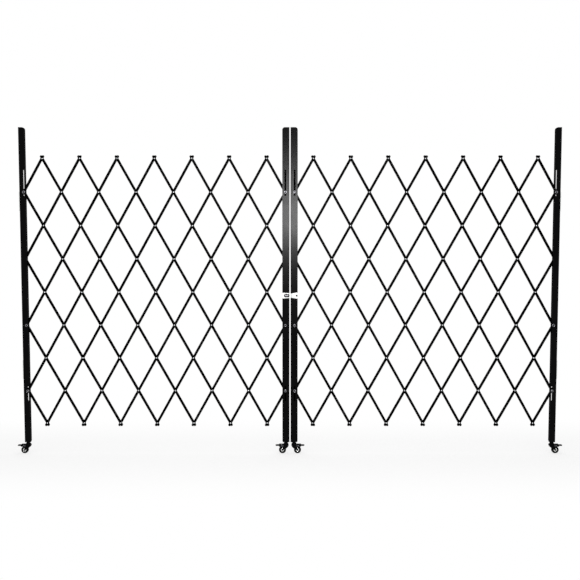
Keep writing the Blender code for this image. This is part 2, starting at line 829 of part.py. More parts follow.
def add_hasp(right_post, material):
    """A hasp across the lead posts: a leaf bolted to the right one, and a slotted strap that swings on it."""
    clear = knuckle_radius + running_gap
    outer_half = hasp_hinge_width / 2 - knuckle_end_room
    middle_half = outer_half * knuckle_middle_share
    middle_low, middle_high = hasp_height - middle_half, hasp_height + middle_half
    outer_low, outer_high = hasp_height - outer_half, hasp_height + outer_half
    below, above = outer_low - overrun, outer_high + overrun

    leaf = prism(hasp_plate_outline(1, leaf_end_width), hasp_front, hasp_back, "Y")
    leaf_near, leaf_far = hasp_axis_x - overrun, hasp_axis_x + clear
    leaf_rooms = [
        room_beside(leaf_near, leaf_far, middle_low - running_gap, middle_high + running_gap),
        room_beside(leaf_near, leaf_far, below, outer_low),
        room_beside(leaf_near, leaf_far, outer_high, above),
    ]
    leaf_knuckles = [
        knuckle(outer_low, middle_low - running_gap),
        knuckle(middle_high + running_gap, outer_high),
    ]
    pin_ends = (outer_low + join_depth, outer_high - join_depth)
    pin_centre = (hasp_axis_x, hasp_axis_y)
    pin = turned([(hasp_pin_radius, end) for end in pin_ends], hasp_pin_sides, "Z", pin_centre)
    nut_face = post_front + post_wall + running_gap
    bolt = turned(
        [
            (leaf_bolt_head_radius, hasp_front - leaf_bolt_head_height),
            (leaf_bolt_head_radius, hasp_front + join_depth),
            (leaf_bolt_radius, hasp_front + join_depth),
            (leaf_bolt_radius, nut_face),
            (leaf_bolt_head_radius, nut_face),
            (leaf_bolt_head_radius, nut_face + post_wall),
        ],
        leaf_bolt_sides,
        "Y",
        (across_lead_post(leaf_bolt_post_share), hasp_height),
    )
    leaf_steps = [
        ("DIFFERENCE", leaf_rooms),
        ("UNION", [*leaf_knuckles, bolt]),
        ("UNION", [pin]),
    ]
    leaf_piece = add("hasp_leaf", worked(leaf, leaf_steps), material)
    carry(right_post, leaf_piece)

    strap = prism(hasp_plate_outline(-1, strap_end_width), hasp_front, hasp_back, "Y")
    strap_near, strap_far = hasp_axis_x - clear, hasp_axis_x + overrun
    slot_outline = lock_outline(lock_slot_length, lock_slot_width, 0)
    slot = prism(slot_outline, hasp_front - overrun, hasp_back + overrun, "Y")
    strap_cuts = [
        room_beside(strap_near, strap_far, below, middle_low),
        room_beside(strap_near, strap_far, middle_high, above),
        slot,
    ]
    radius = bore_radius(hasp_pin_radius, hasp_pin_sides)
    bore_ends = (middle_low - overrun, middle_high + overrun)
    bore = turned([(radius, end) for end in bore_ends], hasp_pin_sides, "Z", pin_centre)
    strap_steps = [
        ("DIFFERENCE", strap_cuts),
        ("UNION", [knuckle(middle_low, middle_high)]),
        ("DIFFERENCE", [bore]),
    ]
    mesh = worked(strap, strap_steps)
    pivot = Vector((hasp_axis_x, hasp_axis_y, hasp_height))
    mesh.transform(Matrix.Translation(-pivot))
    carry(leaf_piece, add("hasp_strap", mesh, material, pivot))


def main():
    remove_everything()
    powder_coat = make_material("black powder coat", (0.012, 0.012, 0.013), 0.0, 0.42)
    zinc = make_material("bright zinc plate", (0.78, 0.79, 0.80), 1.0, 0.28)
    materials = {
        "fork": make_material("black caster steel", (0.015, 0.015, 0.016), 0.0, 0.38),
        "wheel": make_material("black tyre", (0.02, 0.02, 0.021), 0.0, 0.6),
    }
    add_lattice(powder_coat)
    for half, side in halves:
        wall_post = add_wall_post(half, side, powder_coat)
        lead_post = add_lead_post(half, side, powder_coat)
        add_caster(half, side, "wall", wall_post, materials)
        add_caster(half, side, "lead", lead_post, materials)
        if side > 0:
            add_hasp(lead_post, zinc)


main()
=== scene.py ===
# %% [markdown]
# # A folding security gate in black powder coat
# The gate closes an opening three metres wide. Two lattices of riveted channel bars hang between four posts,
# and the inner posts roll on small casters. This notebook dresses the measured model of the gate: it reads
# where each bar, post and wheel is, and builds a finer piece in the same place. Lengths are in metres. X runs
# along the gate, Y goes away from the viewer, and Z goes up.

# %% Tools and the measured frame
import json
import math

import bmesh
import bpy
from mathutils import Matrix, Vector


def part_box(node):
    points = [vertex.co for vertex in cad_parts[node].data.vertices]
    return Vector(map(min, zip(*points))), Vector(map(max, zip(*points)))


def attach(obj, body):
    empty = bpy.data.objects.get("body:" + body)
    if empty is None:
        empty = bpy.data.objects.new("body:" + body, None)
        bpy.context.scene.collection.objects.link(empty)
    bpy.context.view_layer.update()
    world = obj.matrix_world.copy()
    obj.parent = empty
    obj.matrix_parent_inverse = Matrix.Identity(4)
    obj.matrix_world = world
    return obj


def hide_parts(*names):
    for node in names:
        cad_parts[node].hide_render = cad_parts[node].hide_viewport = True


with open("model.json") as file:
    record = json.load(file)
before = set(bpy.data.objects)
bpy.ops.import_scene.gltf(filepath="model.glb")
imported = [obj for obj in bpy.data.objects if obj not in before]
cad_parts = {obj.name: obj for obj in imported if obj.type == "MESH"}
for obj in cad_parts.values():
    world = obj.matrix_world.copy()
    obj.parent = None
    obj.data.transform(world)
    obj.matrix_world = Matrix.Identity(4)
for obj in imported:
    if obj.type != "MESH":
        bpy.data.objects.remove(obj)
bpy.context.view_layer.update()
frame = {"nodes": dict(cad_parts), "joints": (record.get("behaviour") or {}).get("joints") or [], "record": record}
joints = {joint["name"]: Vector(joint["pos_m"]) for joint in frame["joints"]}
mm = 0.001
print("measured pieces:", len(frame["nodes"]), "joints:", len(joints))

# %% [markdown]
# ## Where the rivets are
# A scissor lattice is one length repeated: every bar is drilled at the same pitch, and every bar leans by the
# same angle. So four joints of the frame give the place of all the rivets. Counting them in columns from the
# wall and in rows from the top is easier to check than a list of places.

# %% The lattice's measures, from the joints
wall_crossing = joints["right_fold"]
top_crossing = joints["right_rear_bar_07_pivot"]
next_crossing = joints["right_rear_bar_06_pivot"]
column_pitch = abs(top_crossing.x - next_crossing.x)
row_pitch = abs(top_crossing.z - next_crossing.z)
rivet_pitch = math.hypot(column_pitch, row_pitch)
lean = math.atan2(column_pitch, row_pitch)
fixed_row = round((top_crossing.z - wall_crossing.z) / row_pitch)
column_steps = round((wall_crossing.x - joints["right_lead_post_pivot"].x) / column_pitch)
row_steps = 8
sliding_rows = (1, 7)
halves = (("left", -1), ("right", 1))
print(f"pitch {rivet_pitch / mm:.1f} mm, lean {math.degrees(lean):.2f} degrees, {column_steps} columns")


def crossing(side, column, row):
    x = side * (wall_crossing.x - column * column_pitch)
    return Vector((x, 0, wall_crossing.z + (fixed_row - row) * row_pitch))


def front_bars():
    """(bar number, its crossings from the wall up) for the bars that rise towards the lead post."""
    for number, total in enumerate(range(1, column_steps + row_steps, 2), 1):
        columns = range(max(0, total - row_steps), min(column_steps, total) + 1)
        yield number, [(column, total - column) for column in columns]


def rear_bars():
    """(bar number, its crossings from the wall down) for the bars that fall towards the lead post."""
    for number, difference in enumerate(range(1 - row_steps, column_steps, 2), 1):
        columns = range(max(0, difference), min(column_steps, difference + row_steps) + 1)
        yield number, [(column, column - difference) for column in columns]


def rivet_kind(column, row):
    """A crossing at a post has a large rivet: fixed in the post at one row, sliding in its slot at two."""
    at_post = column in (0, column_steps)
    if at_post and row == fixed_row:
        return "fixed"
    if at_post and row in sliding_rows:
        return "sliding"
    return "plain"


# %% [markdown]
# ## The scene's settings
# Standard view shows a colour as it is written. Hex values are what a colour picker shows, and Blender mixes
# light in linear values, so one function turns them.

# %% View, colour and nodes
scene = bpy.context.scene
scene.view_settings.view_transform = "Standard"


def linear(hex_colour):
    """An sRGB hex colour as linear RGBA."""
    values = []
    for start in (0, 2, 4):
        value = int(hex_colour[start:start + 2], 16) / 255
        values.append(value / 12.92 if value <= 0.04045 else ((value + 0.055) / 1.055) ** 2.4)
    return (*values, 1.0)


def feed(tree, inputs, numbered=(), **named):
    """Gives sockets, by number or name, a value, the output that feeds them, or a list of outputs."""
    spaced = {name.replace("_", " "): value for name, value in named.items()}
    for socket, value in {**dict(numbered), **spaced}.items():
        for source in value if isinstance(value, list) else [value]:
            if isinstance(source, bpy.types.NodeSocket):
                tree.links.new(source, inputs[socket])
            else:
                inputs[socket].default_value = source


def node(tree, kind, settings=None, *terms, **named):
    """Adds a node with its properties and what feeds its sockets, in turn or by name. Returns its outputs."""
    made = tree.nodes.new(kind)
    for name, value in (settings or {}).items():
        setattr(made, name, value)
    feed(tree, made.inputs, enumerate(terms), **named)
    return made.outputs


maths = "ShaderNodeMath"
times, times_plus, plus, minus, over, absolute, highest = (
    {"operation": name}
    for name in ("MULTIPLY", "MULTIPLY_ADD", "ADD", "SUBTRACT", "GREATER_THAN", "ABSOLUTE", "MAXIMUM")
)

# %% [markdown]
# ## Powder coat
# Powder coat is a polyester powder that is baked until it flows. It covers steel in a film a tenth of a
# millimetre thick, without brush marks but with a fine orange peel. It is satin: light spreads over it in a
# soft band. So the shader is a dark dielectric with a bump of the peel, and a slow change of gloss where
# hands and dust dull it. Moulded rubber is made the same way, with the grain of the mould for the peel.

# %% A function for coated steel and rubber
# Orange peel is 1 to 2 mm wide, and it keeps that size although it shows only close up. From the camera's
# place the coat's slow change of gloss is what shows: it is as wide as a hand.
wear_size = 90 * mm


def film(
    name, dark, light, gloss, specular, peel=1.6 * mm, depth=0.02 * mm, gloss_change=0.015, dark_until=0.35,
):
    """A dull dark film in two near shades, with a fine bump and an uneven gloss."""
    material, tree, coords = new_material(name, light)
    bumps = node(tree, "ShaderNodeTexNoise", Vector=coords, Scale=1 / peel, Detail=2.0)
    bump = node(tree, "ShaderNodeBump", Height=bumps["Fac"], Strength=0.35, Distance=depth)
    wear = node(tree, "ShaderNodeTexNoise", Vector=coords, Scale=1 / wear_size, Detail=4.0)
    rough = node(
        tree, "ShaderNodeMapRange", Value=wear["Fac"], From_Min=0.3, From_Max=0.7,
        To_Min=gloss - gloss_change, To_Max=gloss + gloss_change,
    )
    feed(
        tree, shader_of(tree), Normal=bump["Normal"], Roughness=rough["Result"], Specular_IOR_Level=specular,
    )
    two_tones(tree, wear["Fac"], dark, light, dark_until, 0.7)
    return material


def shader_of(tree):
    return tree.nodes["Principled BSDF"].inputs


def two_tones(tree, source, dark, light, low, high):
    """Colours a surface between two near shades where a pattern runs from low to high."""
    ramp = node(tree, "ShaderNodeMapRange", Value=source, From_Min=low, From_Max=high)
    mix = tree.nodes.new("ShaderNodeMix")
    mix.data_type = "RGBA"
    feed(tree, mix.inputs, {0: ramp["Result"], 6: linear(dark), 7: linear(light)})
    feed(tree, shader_of(tree), Base_Color=mix.outputs[2])


def new_material(name, view_colour):
    material = bpy.data.materials.new(name)
    material.use_nodes = True
    material.diffuse_color = linear(view_colour)
    return material, material.node_tree, node(material.node_tree, "ShaderNodeTexCoord")["Object"]


post_coat = film("satin black powder coat on post channel", "050506", "0a0a0b", 0.19, 0.033)
bar_coat = film("satin black powder coat on lattice channel", "020202", "050505", 0.45, 0.012)
# The coat inside the channel is darker and has no gloss. This is painted shade for the little light that reaches
# in there.
shaded_inner_coat = film("powder coat with painted shade inside the channel", "010101", "030303", 0.8, 0.0)
caster_coat = film("black electrocoat on pressed caster steel", "040405", "08080a", 0.5, 0.025)
rubber = film(
    "moulded black thermoplastic rubber", "0b0b0c", "131314", 0.66, 0.02,
    peel=0.9 * mm, depth=0.05 * mm, gloss_change=0.06, dark_until=0.3,
)
films = (post_coat, bar_coat, shaded_inner_coat, caster_coat, rubber)
print("coats and rubber:", " | ".join(material.name for material in films))

# %% [markdown]
# ## Plated steel
# The hasp is bright zinc plate: an electroplated skin that is nearly white, with fine rolling lines of the
# steel below. The lattice's rivets are nickel plated and greyer. The tubular rivets of the posts and the
# sleeve of the lock are dark zinc, the hasp's bolt is black oxide, and the wheels' pressed hubs are zinc
# again, but duller.

# %% Zinc, nickel and black oxide
# The lines of rolled sheet are about a tenth of a millimetre apart. They are drawn several times as coarse,
# so that they still show in a close view. The clouds of a zinc skin are about a fingertip wide.
cloud_size = 9 * mm


def plated_steel(name, dark, light, gloss, line_pitch=0.4 * mm, line_depth=0.02 * mm):
    """Plating on rolled steel: a metal with fine lines along the sheet and a cloudy tone."""
    material, tree, coords = new_material(name, light)
    stretch = node(tree, "ShaderNodeMapping", Vector=coords, Scale=(0.06, 1.0, 1.0))
    lines = node(tree, "ShaderNodeTexNoise", Vector=stretch["Vector"], Scale=1 / line_pitch)
    bump = node(tree, "ShaderNodeBump", Height=lines["Fac"], Strength=0.3, Distance=line_depth)
    cloud = node(tree, "ShaderNodeTexNoise", Vector=coords, Scale=1 / cloud_size, Detail=3.0)
    two_tones(tree, cloud["Fac"], dark, light, 0.3, 0.65)
    rough = node(tree, "ShaderNodeMapRange", Value=cloud["Fac"], To_Min=0.75 * gloss, To_Max=1.25 * gloss)
    feed(tree, shader_of(tree), Metallic=1.0, Normal=bump["Normal"], Roughness=rough["Result"])
    return material


zinc = plated_steel("bright zinc plate on rolled steel", "e0e2e2", "f3f4f2", 0.11, 0.5 * mm, 0.004 * mm)
hub_zinc = plated_steel("zinc plated pressed hub steel", "cfd1d0", "eaebe9", 0.24, 0.8 * mm, 0.01 * mm)
nickel = plated_steel("nickel plated rivet steel", "a9abae", "c9cbcd", 0.34)
black_zinc = plated_steel("black zinc plate on tubular rivets", "58585b", "6e6e72", 0.24)
black_oxide = plated_steel("black oxide bolt steel", "1d1d1f", "2b2b2d", 0.38)
print("metals:", " | ".join(material.name for material in (zinc, hub_zinc, nickel, black_zinc, black_oxide)))

# %% [markdown]
# ## Helpers for meshes
# Every piece ends as a plain mesh that sits at the origin with its place in its vertices. Modifiers do the
# work on the way, and new_from_object freezes their result.

# %% Freeze, finish and hand over a piece
sharp_edge = math.radians(34)


def new_object(name, data):
    made = bpy.data.objects.new(name, data)
    scene.collection.objects.link(made)
    return made


def freeze(piece):
    """Replaces a piece's mesh by what its modifiers make of it, and removes them."""
    graph = bpy.context.evaluated_depsgraph_get()
    graph.update()
    frozen = bpy.data.meshes.new_from_object(piece.evaluated_get(graph))
    piece.modifiers.clear()
    piece.data = frozen
    return piece


def outward(mesh):
    """Merges doubled points and turns the faces outwards."""
    shape = bmesh.new()
    shape.from_mesh(mesh)
    bmesh.ops.remove_doubles(shape, verts=shape.verts, dist=0.002 * mm)
    bmesh.ops.recalc_face_normals(shape, faces=shape.faces)
    shape.to_mesh(mesh)
    shape.free()


def rounded(piece, width, segments=2):
    """Breaks a piece's sharp edges, as tumbling or a coat of paint does."""
    bevel = piece.modifiers.new("broken edges", "BEVEL")
    bevel.width = width
    bevel.segments = segments
    bevel.limit_method = "ANGLE"
    bevel.angle_limit = sharp_edge
    return freeze(piece)


def taken(piece):
    """A temporary object's mesh, with the object itself removed."""
    mesh = piece.data
    bpy.data.objects.remove(piece, do_unlink=True)
    return mesh


def coated(mesh, material):
    mesh.materials.clear()
    mesh.materials.append(material)
    return mesh


def finish(piece, body, slot=None, node_name=None):
    """Gives a piece smooth faces and the body that it rides on, and hides the measured node that it stands for."""
    piece.data.shade_smooth()
    piece.data.set_sharp_from_angle(angle=sharp_edge)
    flat = piece.modifiers.new("large faces stay flat", "WEIGHTED_NORMAL")
    flat.keep_sharp = True
    freeze(piece)
    if node_name:
        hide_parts(node_name)
    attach(piece, body)
    return piece


def assembled(name, meshes, *rest):
    """One finished piece from several meshes, each keeping its own materials."""
    return finish(joined(name, meshes), *rest)


# %% [markdown]
# ## A pressed channel, as a node tree
# Bars and posts are strips of sheet that are bent into a channel. Geometry Nodes can bend one in the same
# order as a press: a line with four corners gets round bends, is drawn out to the strip's length, and gets
# the sheet's thickness. The same tree then serves for a bar of 14 mm and a post of 40 mm.

# %% The channel tree
channel_sizes = ("Width", "Depth", "Wall", "Bend", "Low", "High")
weld_distance = 0.005 * mm


def new_tree(name, *labels):
    """A geometry node tree with named inputs, most of them lengths, and its input and output sockets."""
    tree = bpy.data.node_groups.new(name, "GeometryNodeTree")
    kinds = {"Geometry": "Geometry", "Material": "Material", "Sides": "Int", "Rings": "Int"}
    for label in ("Geometry", *labels, "Material"):
        kind = kinds.get(label, "Float")
        tree.interface.new_socket(label, in_out="INPUT", socket_type=f"NodeSocket{kind}")
    tree.interface.new_socket("Geometry", in_out="OUTPUT", socket_type="NodeSocketGeometry")
    return tree, tree.nodes.new("NodeGroupInput").outputs, tree.nodes.new("NodeGroupOutput").inputs


def end_tree(tree, given, out, geometry):
    """Ends a tree with real geometry in one material."""
    real = node(tree, "GeometryNodeRealizeInstances", Geometry=geometry)
    plain = node(tree, "GeometryNodeSetMaterial", Geometry=real[0], Material=given["Material"])
    feed(tree, out, Geometry=plain[0])
    return tree


def thickened(tree, sheet, depth):
    """A closed solid from a sheet of faces: the sheet drawn out along its normals, and its other side."""
    drawn = node(
        tree, "GeometryNodeExtrudeMesh", {"mode": "FACES"}, Mesh=sheet, Offset_Scale=depth, Individual=False,
    )
    other_side = node(tree, "GeometryNodeFlipFaces", Mesh=sheet)
    both = node(tree, "GeometryNodeJoinGeometry", {}, [drawn["Mesh"], other_side[0]])
    return node(tree, "GeometryNodeMergeByDistance", Geometry=both[0], Distance=weld_distance)[0]


def channel_tree():
    """A channel along Z: its web's outer face at Y = 0, its flanges towards +Y, its ends at Low and High."""
    tree, given, out = new_tree("pressed channel", *channel_sizes)
    half_wall = node(tree, maths, times, given["Wall"], 0.5)[0]
    # The section's points are numbered 0 to 3: a lip, the web's two corners and the other lip.
    index = node(tree, "GeometryNodeInputIndex")[0]
    is_right = node(tree, maths, over, index, 1.5)[0]
    side = node(tree, maths, times_plus, is_right, 2.0, -1.0)[0]
    off_middle = node(tree, maths, minus, index, 1.5)[0]
    from_middle = node(tree, maths, absolute, off_middle)[0]
    is_lip = node(tree, maths, over, from_middle, 1.0)[0]
    half_width = node(tree, maths, times, given["Width"], 0.5)[0]
    reach = node(tree, maths, minus, half_width, half_wall)[0]
    x = node(tree, maths, times, side, reach)[0]
    rise = node(tree, maths, minus, given["Depth"], half_wall)[0]
    y = node(tree, maths, times_plus, is_lip, rise, half_wall)[0]
    line = node(tree, "GeometryNodeCurvePrimitiveLine")
    four = node(tree, "GeometryNodeResampleCurve", {"mode": "COUNT"}, Curve=line[0], Count=4)
    spots = node(tree, "ShaderNodeCombineXYZ", X=x, Y=y, Z=given["Low"])
    corners = node(tree, "GeometryNodeSetPosition", Geometry=four[0], Position=spots[0])
    radius = node(tree, maths, minus, given["Bend"], half_wall)[0]
    bends = node(tree, "GeometryNodeFilletCurve", {"mode": "POLY"}, Curve=corners[0], Radius=radius, Count=5)
    edges = node(tree, "GeometryNodeCurveToMesh", Curve=bends[0])
    length = node(tree, maths, minus, given["High"], given["Low"])[0]
    along = node(tree, "ShaderNodeCombineXYZ", Z=length)
    strip = node(
        tree, "GeometryNodeExtrudeMesh", {"mode": "EDGES"}, Mesh=edges[0], Offset=along[0], Offset_Scale=1.0,
    )
    inwards = node(tree, maths, times, half_wall, -1.0)[0]
    normal = node(tree, "GeometryNodeInputNormal")[0]
    shift = node(tree, "ShaderNodeVectorMath", {"operation": "SCALE"}, normal, Scale=inwards)
    centred = node(tree, "GeometryNodeSetPosition", Geometry=strip["Mesh"], Offset=shift[0])
    return end_tree(tree, given, out, thickened(tree, centred[0], given["Wall"]))


pressed_channel = channel_tree()
print("channel tree:", len(pressed_channel.nodes), "nodes")

# %% [markdown]
# ## The lattice's bars
# Each bar is channel of nine sixteenths of an inch, and its ends are punched round so that they don't catch.
# The tree bends the channel, then keeps only what lies inside a long obround, as the punch does. Every bar is
# its own piece, because every bar turns by itself.

# %% The bar tree
bar_width = 14.2 * mm
bar_depth = 6.0 * mm
bar_wall = 1.2 * mm
bar_bend = 2.0 * mm
bar_overhang = 19.0 * mm
layer_face = 0.15 * mm
nearly_half = 0.4999  # of the width, because two arcs of exactly half the width would meet in doubled points
punch_reach = 2.0  # bar depths before the web, and as many behind it


def bar_tree():
    tree, given, out = new_tree("lattice bar", *channel_sizes)
    sizes = {label: given[label] for label in (*channel_sizes, "Material")}
    channel = node(tree, "GeometryNodeGroup", {"node_tree": pressed_channel}, **sizes)
    length = node(tree, maths, minus, given["High"], given["Low"])[0]
    ends = node(tree, maths, plus, given["High"], given["Low"])[0]
    middle = node(tree, maths, times, ends, 0.5)[0]
    rectangle = node(tree, "GeometryNodeCurvePrimitiveQuadrilateral", Width=given["Width"], Height=length)
    end_radius = node(tree, maths, times, given["Width"], nearly_half)[0]
    round_ends = node(
        tree, "GeometryNodeFilletCurve", {"mode": "POLY"}, Curve=rectangle[0], Radius=end_radius, Count=7,
    )
    face = node(tree, "GeometryNodeFillCurve", {"mode": "NGONS"}, Curve=round_ends[0])
    punch_depth = node(tree, maths, times, given["Depth"], 2 * punch_reach)[0]
    punch = thickened(tree, face[0], punch_depth)
    before_web = node(tree, maths, times, given["Depth"], punch_reach)[0]
    start = node(tree, "ShaderNodeCombineXYZ", Y=before_web, Z=middle)
    placed = node(
        tree, "GeometryNodeTransform", Geometry=punch, Translation=start[0], Rotation=(math.pi / 2, 0, 0),
    )
    inside = {"operation": "INTERSECT", "solver": "EXACT"}
    punched = node(tree, "GeometryNodeMeshBoolean", inside, Mesh_2=[channel[0], placed[0]])
    return end_tree(tree, given, out, punched[0])


def grown(name, tree, sizes, points=()):
    """An object whose plain mesh is what a node tree makes of these sizes and any (place, facing) points."""
    piece = new_object(name, bpy.data.meshes.new(name))
    if points:
        piece.data.from_pydata([place for place, _ in points], [], [])
        facing = piece.data.attributes.new("facing", "FLOAT_VECTOR", "POINT")
        for value, (_, way) in zip(facing.data, points):
            value.vector = way
    modifier = piece.modifiers.new(tree.name, "NODES")
    modifier.node_group = tree
    for item in tree.interface.items_tree:
        if item.in_out == "INPUT" and item.name in sizes:
            modifier[item.identifier] = sizes[item.name]
    return freeze(piece)


lattice_bar = bar_tree()
print("bar tree:", len(lattice_bar.nodes), "nodes")

# %% Forty-four bars
bar_sizes = {"Width": bar_width, "Depth": bar_depth, "Wall": bar_wall, "Bend": bar_bend, "Material": bar_coat}


def add_bar(half, side, layer, number, crossings):
    """A bar from its lowest crossing up. Front bars face the viewer, rear bars face the back."""
    name = f"{half}_{layer}_bar_{number:02d}"
    lowest = min((crossing(side, *spot) for spot in crossings), key=lambda place: place.z)
    run = (len(crossings) - 1) * rivet_pitch
    ends = {"Low": -bar_overhang, "High": run + bar_overhang}
    piece = grown(f"{name}_channel", lattice_bar, {**bar_sizes, **ends})
    way = -1 if layer == "front" else 1
    turn = Matrix.Rotation(math.pi if way < 0 else 0, 4, "Z")
    tilt = Matrix.Rotation(way * side * lean, 4, "Y")
    step = Matrix.Translation((0, way * layer_face, 0))
    piece.data.transform(Matrix.Translation(lowest) @ tilt @ step @ turn)
    outward(piece.data)
    rounded(piece, 0.22 * mm, 1)
    coated(piece.data, bar_coat)
    return finish(piece, name, "lattice_coat", name)


bars = []
for half, side in halves:
    for number, crossings in front_bars():
        bars.append(add_bar(half, side, "front", number, crossings))
    for number, crossings in rear_bars():
        bars.append(add_bar(half, side, "rear", number, crossings))
print("bars:", len(bars), "with", sum(len(bar.data.polygons) for bar in bars), "faces")

# %% [markdown]
# ## Rivets
# A plain crossing has a solid rivet with a low domed head on each side. The rivets at the posts are tubular
# and larger: their ends are rolled outwards, which leaves a ring with a hollow eye. Both heads are a short
# cylinder whose rings are moved onto an arc, a quarter turn for the dome and a half turn for the rolled ring.
# A mesh of points says where the heads go, and an attribute on it says which way each one faces.

# %% The rivet tree
def rivet_tree():
    labels = ("Roll Middle", "Roll Radius", "Roll Turn", "Height", "Sides", "Rings")
    tree, given, out = new_tree("rivet heads", *labels)
    blank = node(
        tree, "GeometryNodeMeshCylinder", {"fill_type": "NGON"}, Vertices=given["Sides"],
        Side_Segments=given["Rings"], Radius=1.0, Depth=1.0,
    )
    place = node(tree, "ShaderNodeSeparateXYZ", {}, node(tree, "GeometryNodeInputPosition")[0])
    share = node(tree, maths, plus, place["Z"], 0.5)[0]
    angle = node(tree, maths, times, share, given["Roll Turn"])[0]
    cosine = node(tree, maths, {"operation": "COSINE"}, angle)[0]
    sine = node(tree, maths, {"operation": "SINE"}, angle)[0]
    radius = node(tree, maths, times_plus, cosine, given["Roll Radius"], given["Roll Middle"])[0]
    x = node(tree, maths, times, place["X"], radius)[0]
    y = node(tree, maths, times, place["Y"], radius)[0]
    z = node(tree, maths, times, sine, given["Height"])[0]
    spots = node(tree, "ShaderNodeCombineXYZ", X=x, Y=y, Z=z)
    rolled = node(tree, "GeometryNodeSetPosition", Geometry=blank["Mesh"], Position=spots[0])
    head = node(tree, "GeometryNodeMergeByDistance", Geometry=rolled[0], Distance=4 * weld_distance)
    facing = node(tree, "GeometryNodeInputNamedAttribute", {"data_type": "FLOAT_VECTOR"}, Name="facing")
    turned = node(tree, "FunctionNodeAlignRotationToVector", {"axis": "Z"}, Vector=facing[0])
    heads = node(
        tree, "GeometryNodeInstanceOnPoints", Points=given["Geometry"], Instance=head[0], Rotation=turned[0],
    )
    return end_tree(tree, given, out, heads[0])


rivet_heads = rivet_tree()


def heads_at(spots, outer, eye, height, sides, rings, material):
    """The mesh of rivet heads of one kind. spots are (place, facing); an eye of zero makes a dome."""
    return taken(grown("heads", rivet_heads, {
        "Roll Middle": (outer + eye) / 2 if eye else 0.0,
        "Roll Radius": (outer - eye) / 2 if eye else outer,
        "Roll Turn": math.pi if eye else math.pi / 2,
        "Height": height, "Sides": sides, "Rings": rings, "Material": material,
    }, spots))


# %% Lathe and prism
def on_axis(axis, place, a, b):
    """A point at a place along an axis, and at a and b along the other two."""
    return {"X": (place, a, b), "Y": (a, place, b), "Z": (a, b, place)}[axis]


def skinned(rings):
    """A closed mesh over rings of points, with the first and the last ring filled."""
    shape = bmesh.new()
    rings = [[shape.verts.new(spot) for spot in ring] for ring in rings]
    for ring, following in zip(rings, rings[1:]):
        for step in range(len(ring)):
            after = (step + 1) % len(ring)
            shape.faces.new((ring[step], ring[after], following[after], following[step]))
    shape.faces.new(rings[0])
    shape.faces.new(rings[-1])
    bmesh.ops.recalc_face_normals(shape, faces=shape.faces)
    mesh = bpy.data.meshes.new("skinned")
    shape.to_mesh(mesh)
    shape.free()
    return mesh


def lathe(profile, axis, segments, centre=(0, 0, 0)):
    """A closed turned mesh from (radius, place) points, its first and last on flat ends, about an axis."""
    rings = []
    for radius, place in profile:
        ring = []
        for step in range(segments):
            turn = 2 * math.pi * step / segments
            spot = on_axis(axis, place, radius * math.cos(turn), radius * math.sin(turn))
            ring.append(Vector(spot) + Vector(centre))
        rings.append(ring)
    return skinned(rings)


def prism(outline, low, high, axis):
    """An outline of (y, z), (x, z) or (x, y) points, drawn out along X, Y or Z."""
    return skinned([[on_axis(axis, place, a, b) for a, b in outline] for place in (low, high)])


def oblong(low_a, low_b, high_a, high_b):
    return [(low_a, low_b), (high_a, low_b), (high_a, high_b), (low_a, high_b)]


def arc(centre, radius, start, end, steps):
    turns = [start + (end - start) * step / steps for step in range(steps + 1)]
    return [(centre[0] + radius * math.cos(turn), centre[1] + radius * math.sin(turn)) for turn in turns]


def obround(centre, length, width, upright=True, steps=12):
    """A slot's outline about its centre."""
    run, radius = (length - width) / 2, width / 2
    points = arc((0, run), radius, 0, math.pi, steps) + arc((0, -run), radius, math.pi, 2 * math.pi, steps)
    if not upright:
        points = [(b, a) for a, b in points]
    return [(centre[0] + a, centre[1] + b) for a, b in points]


def joined(name, meshes):
    """One object from several meshes, each keeping its own materials."""
    shape, materials = bmesh.new(), []
    for mesh in meshes:
        first = len(shape.faces)
        shape.from_mesh(mesh)
        shape.faces.ensure_lookup_table()
        for material in mesh.materials:
            if material not in materials:
                materials.append(material)
        for face in shape.faces[first:]:
            face.material_index = materials.index(mesh.materials[face.material_index])
    whole = bpy.data.meshes.new(name)
    shape.to_mesh(whole)
    shape.free()
    for material in materials:
        whole.materials.append(material)
    return new_object(name, whole)


def carved(piece, operation, meshes):
    """Cuts meshes out of a piece, or keeps only what is inside one, and freezes the result."""
    for mesh in meshes:
        tool = new_object("tool", mesh)
        change = piece.modifiers.new("cut", "BOOLEAN")
        change.operation = operation
        change.solver = "EXACT"
        change.object = tool
        freeze(piece)
        bpy.data.objects.remove(tool, do_unlink=True)
    return piece


# %% The rivets of every front bar, closed over the rear bar behind it
rivet_head_radius = 4.1 * mm
rivet_head_height = 2.2 * mm
rear_head_face = layer_face + bar_wall + 0.3 * mm
post_rivet_radius = 3.2 * mm
post_rivet_bore = 2.6 * mm
bore_depth = 7.0 * mm
post_head_radius = 8.1 * mm
post_head_height = 2.2 * mm
post_half_depth = 10.0 * mm
running_gap = 0.3 * mm
post_heads = (post_head_radius, post_rivet_radius, post_head_height, 24, 8, black_zinc)
to_front, to_back = Vector((0, -1, 0)), Vector((0, 1, 0))


def shank(spot, front, back):
    """A tubular rivet's body, with the blind bore that its end is rolled from."""
    return coated(lathe([
        (post_rivet_bore, front + bore_depth), (post_rivet_bore, front), (post_rivet_radius, front),
        (post_rivet_radius, back),
    ], "Y", 20, (spot.x, 0, spot.z)), black_zinc)


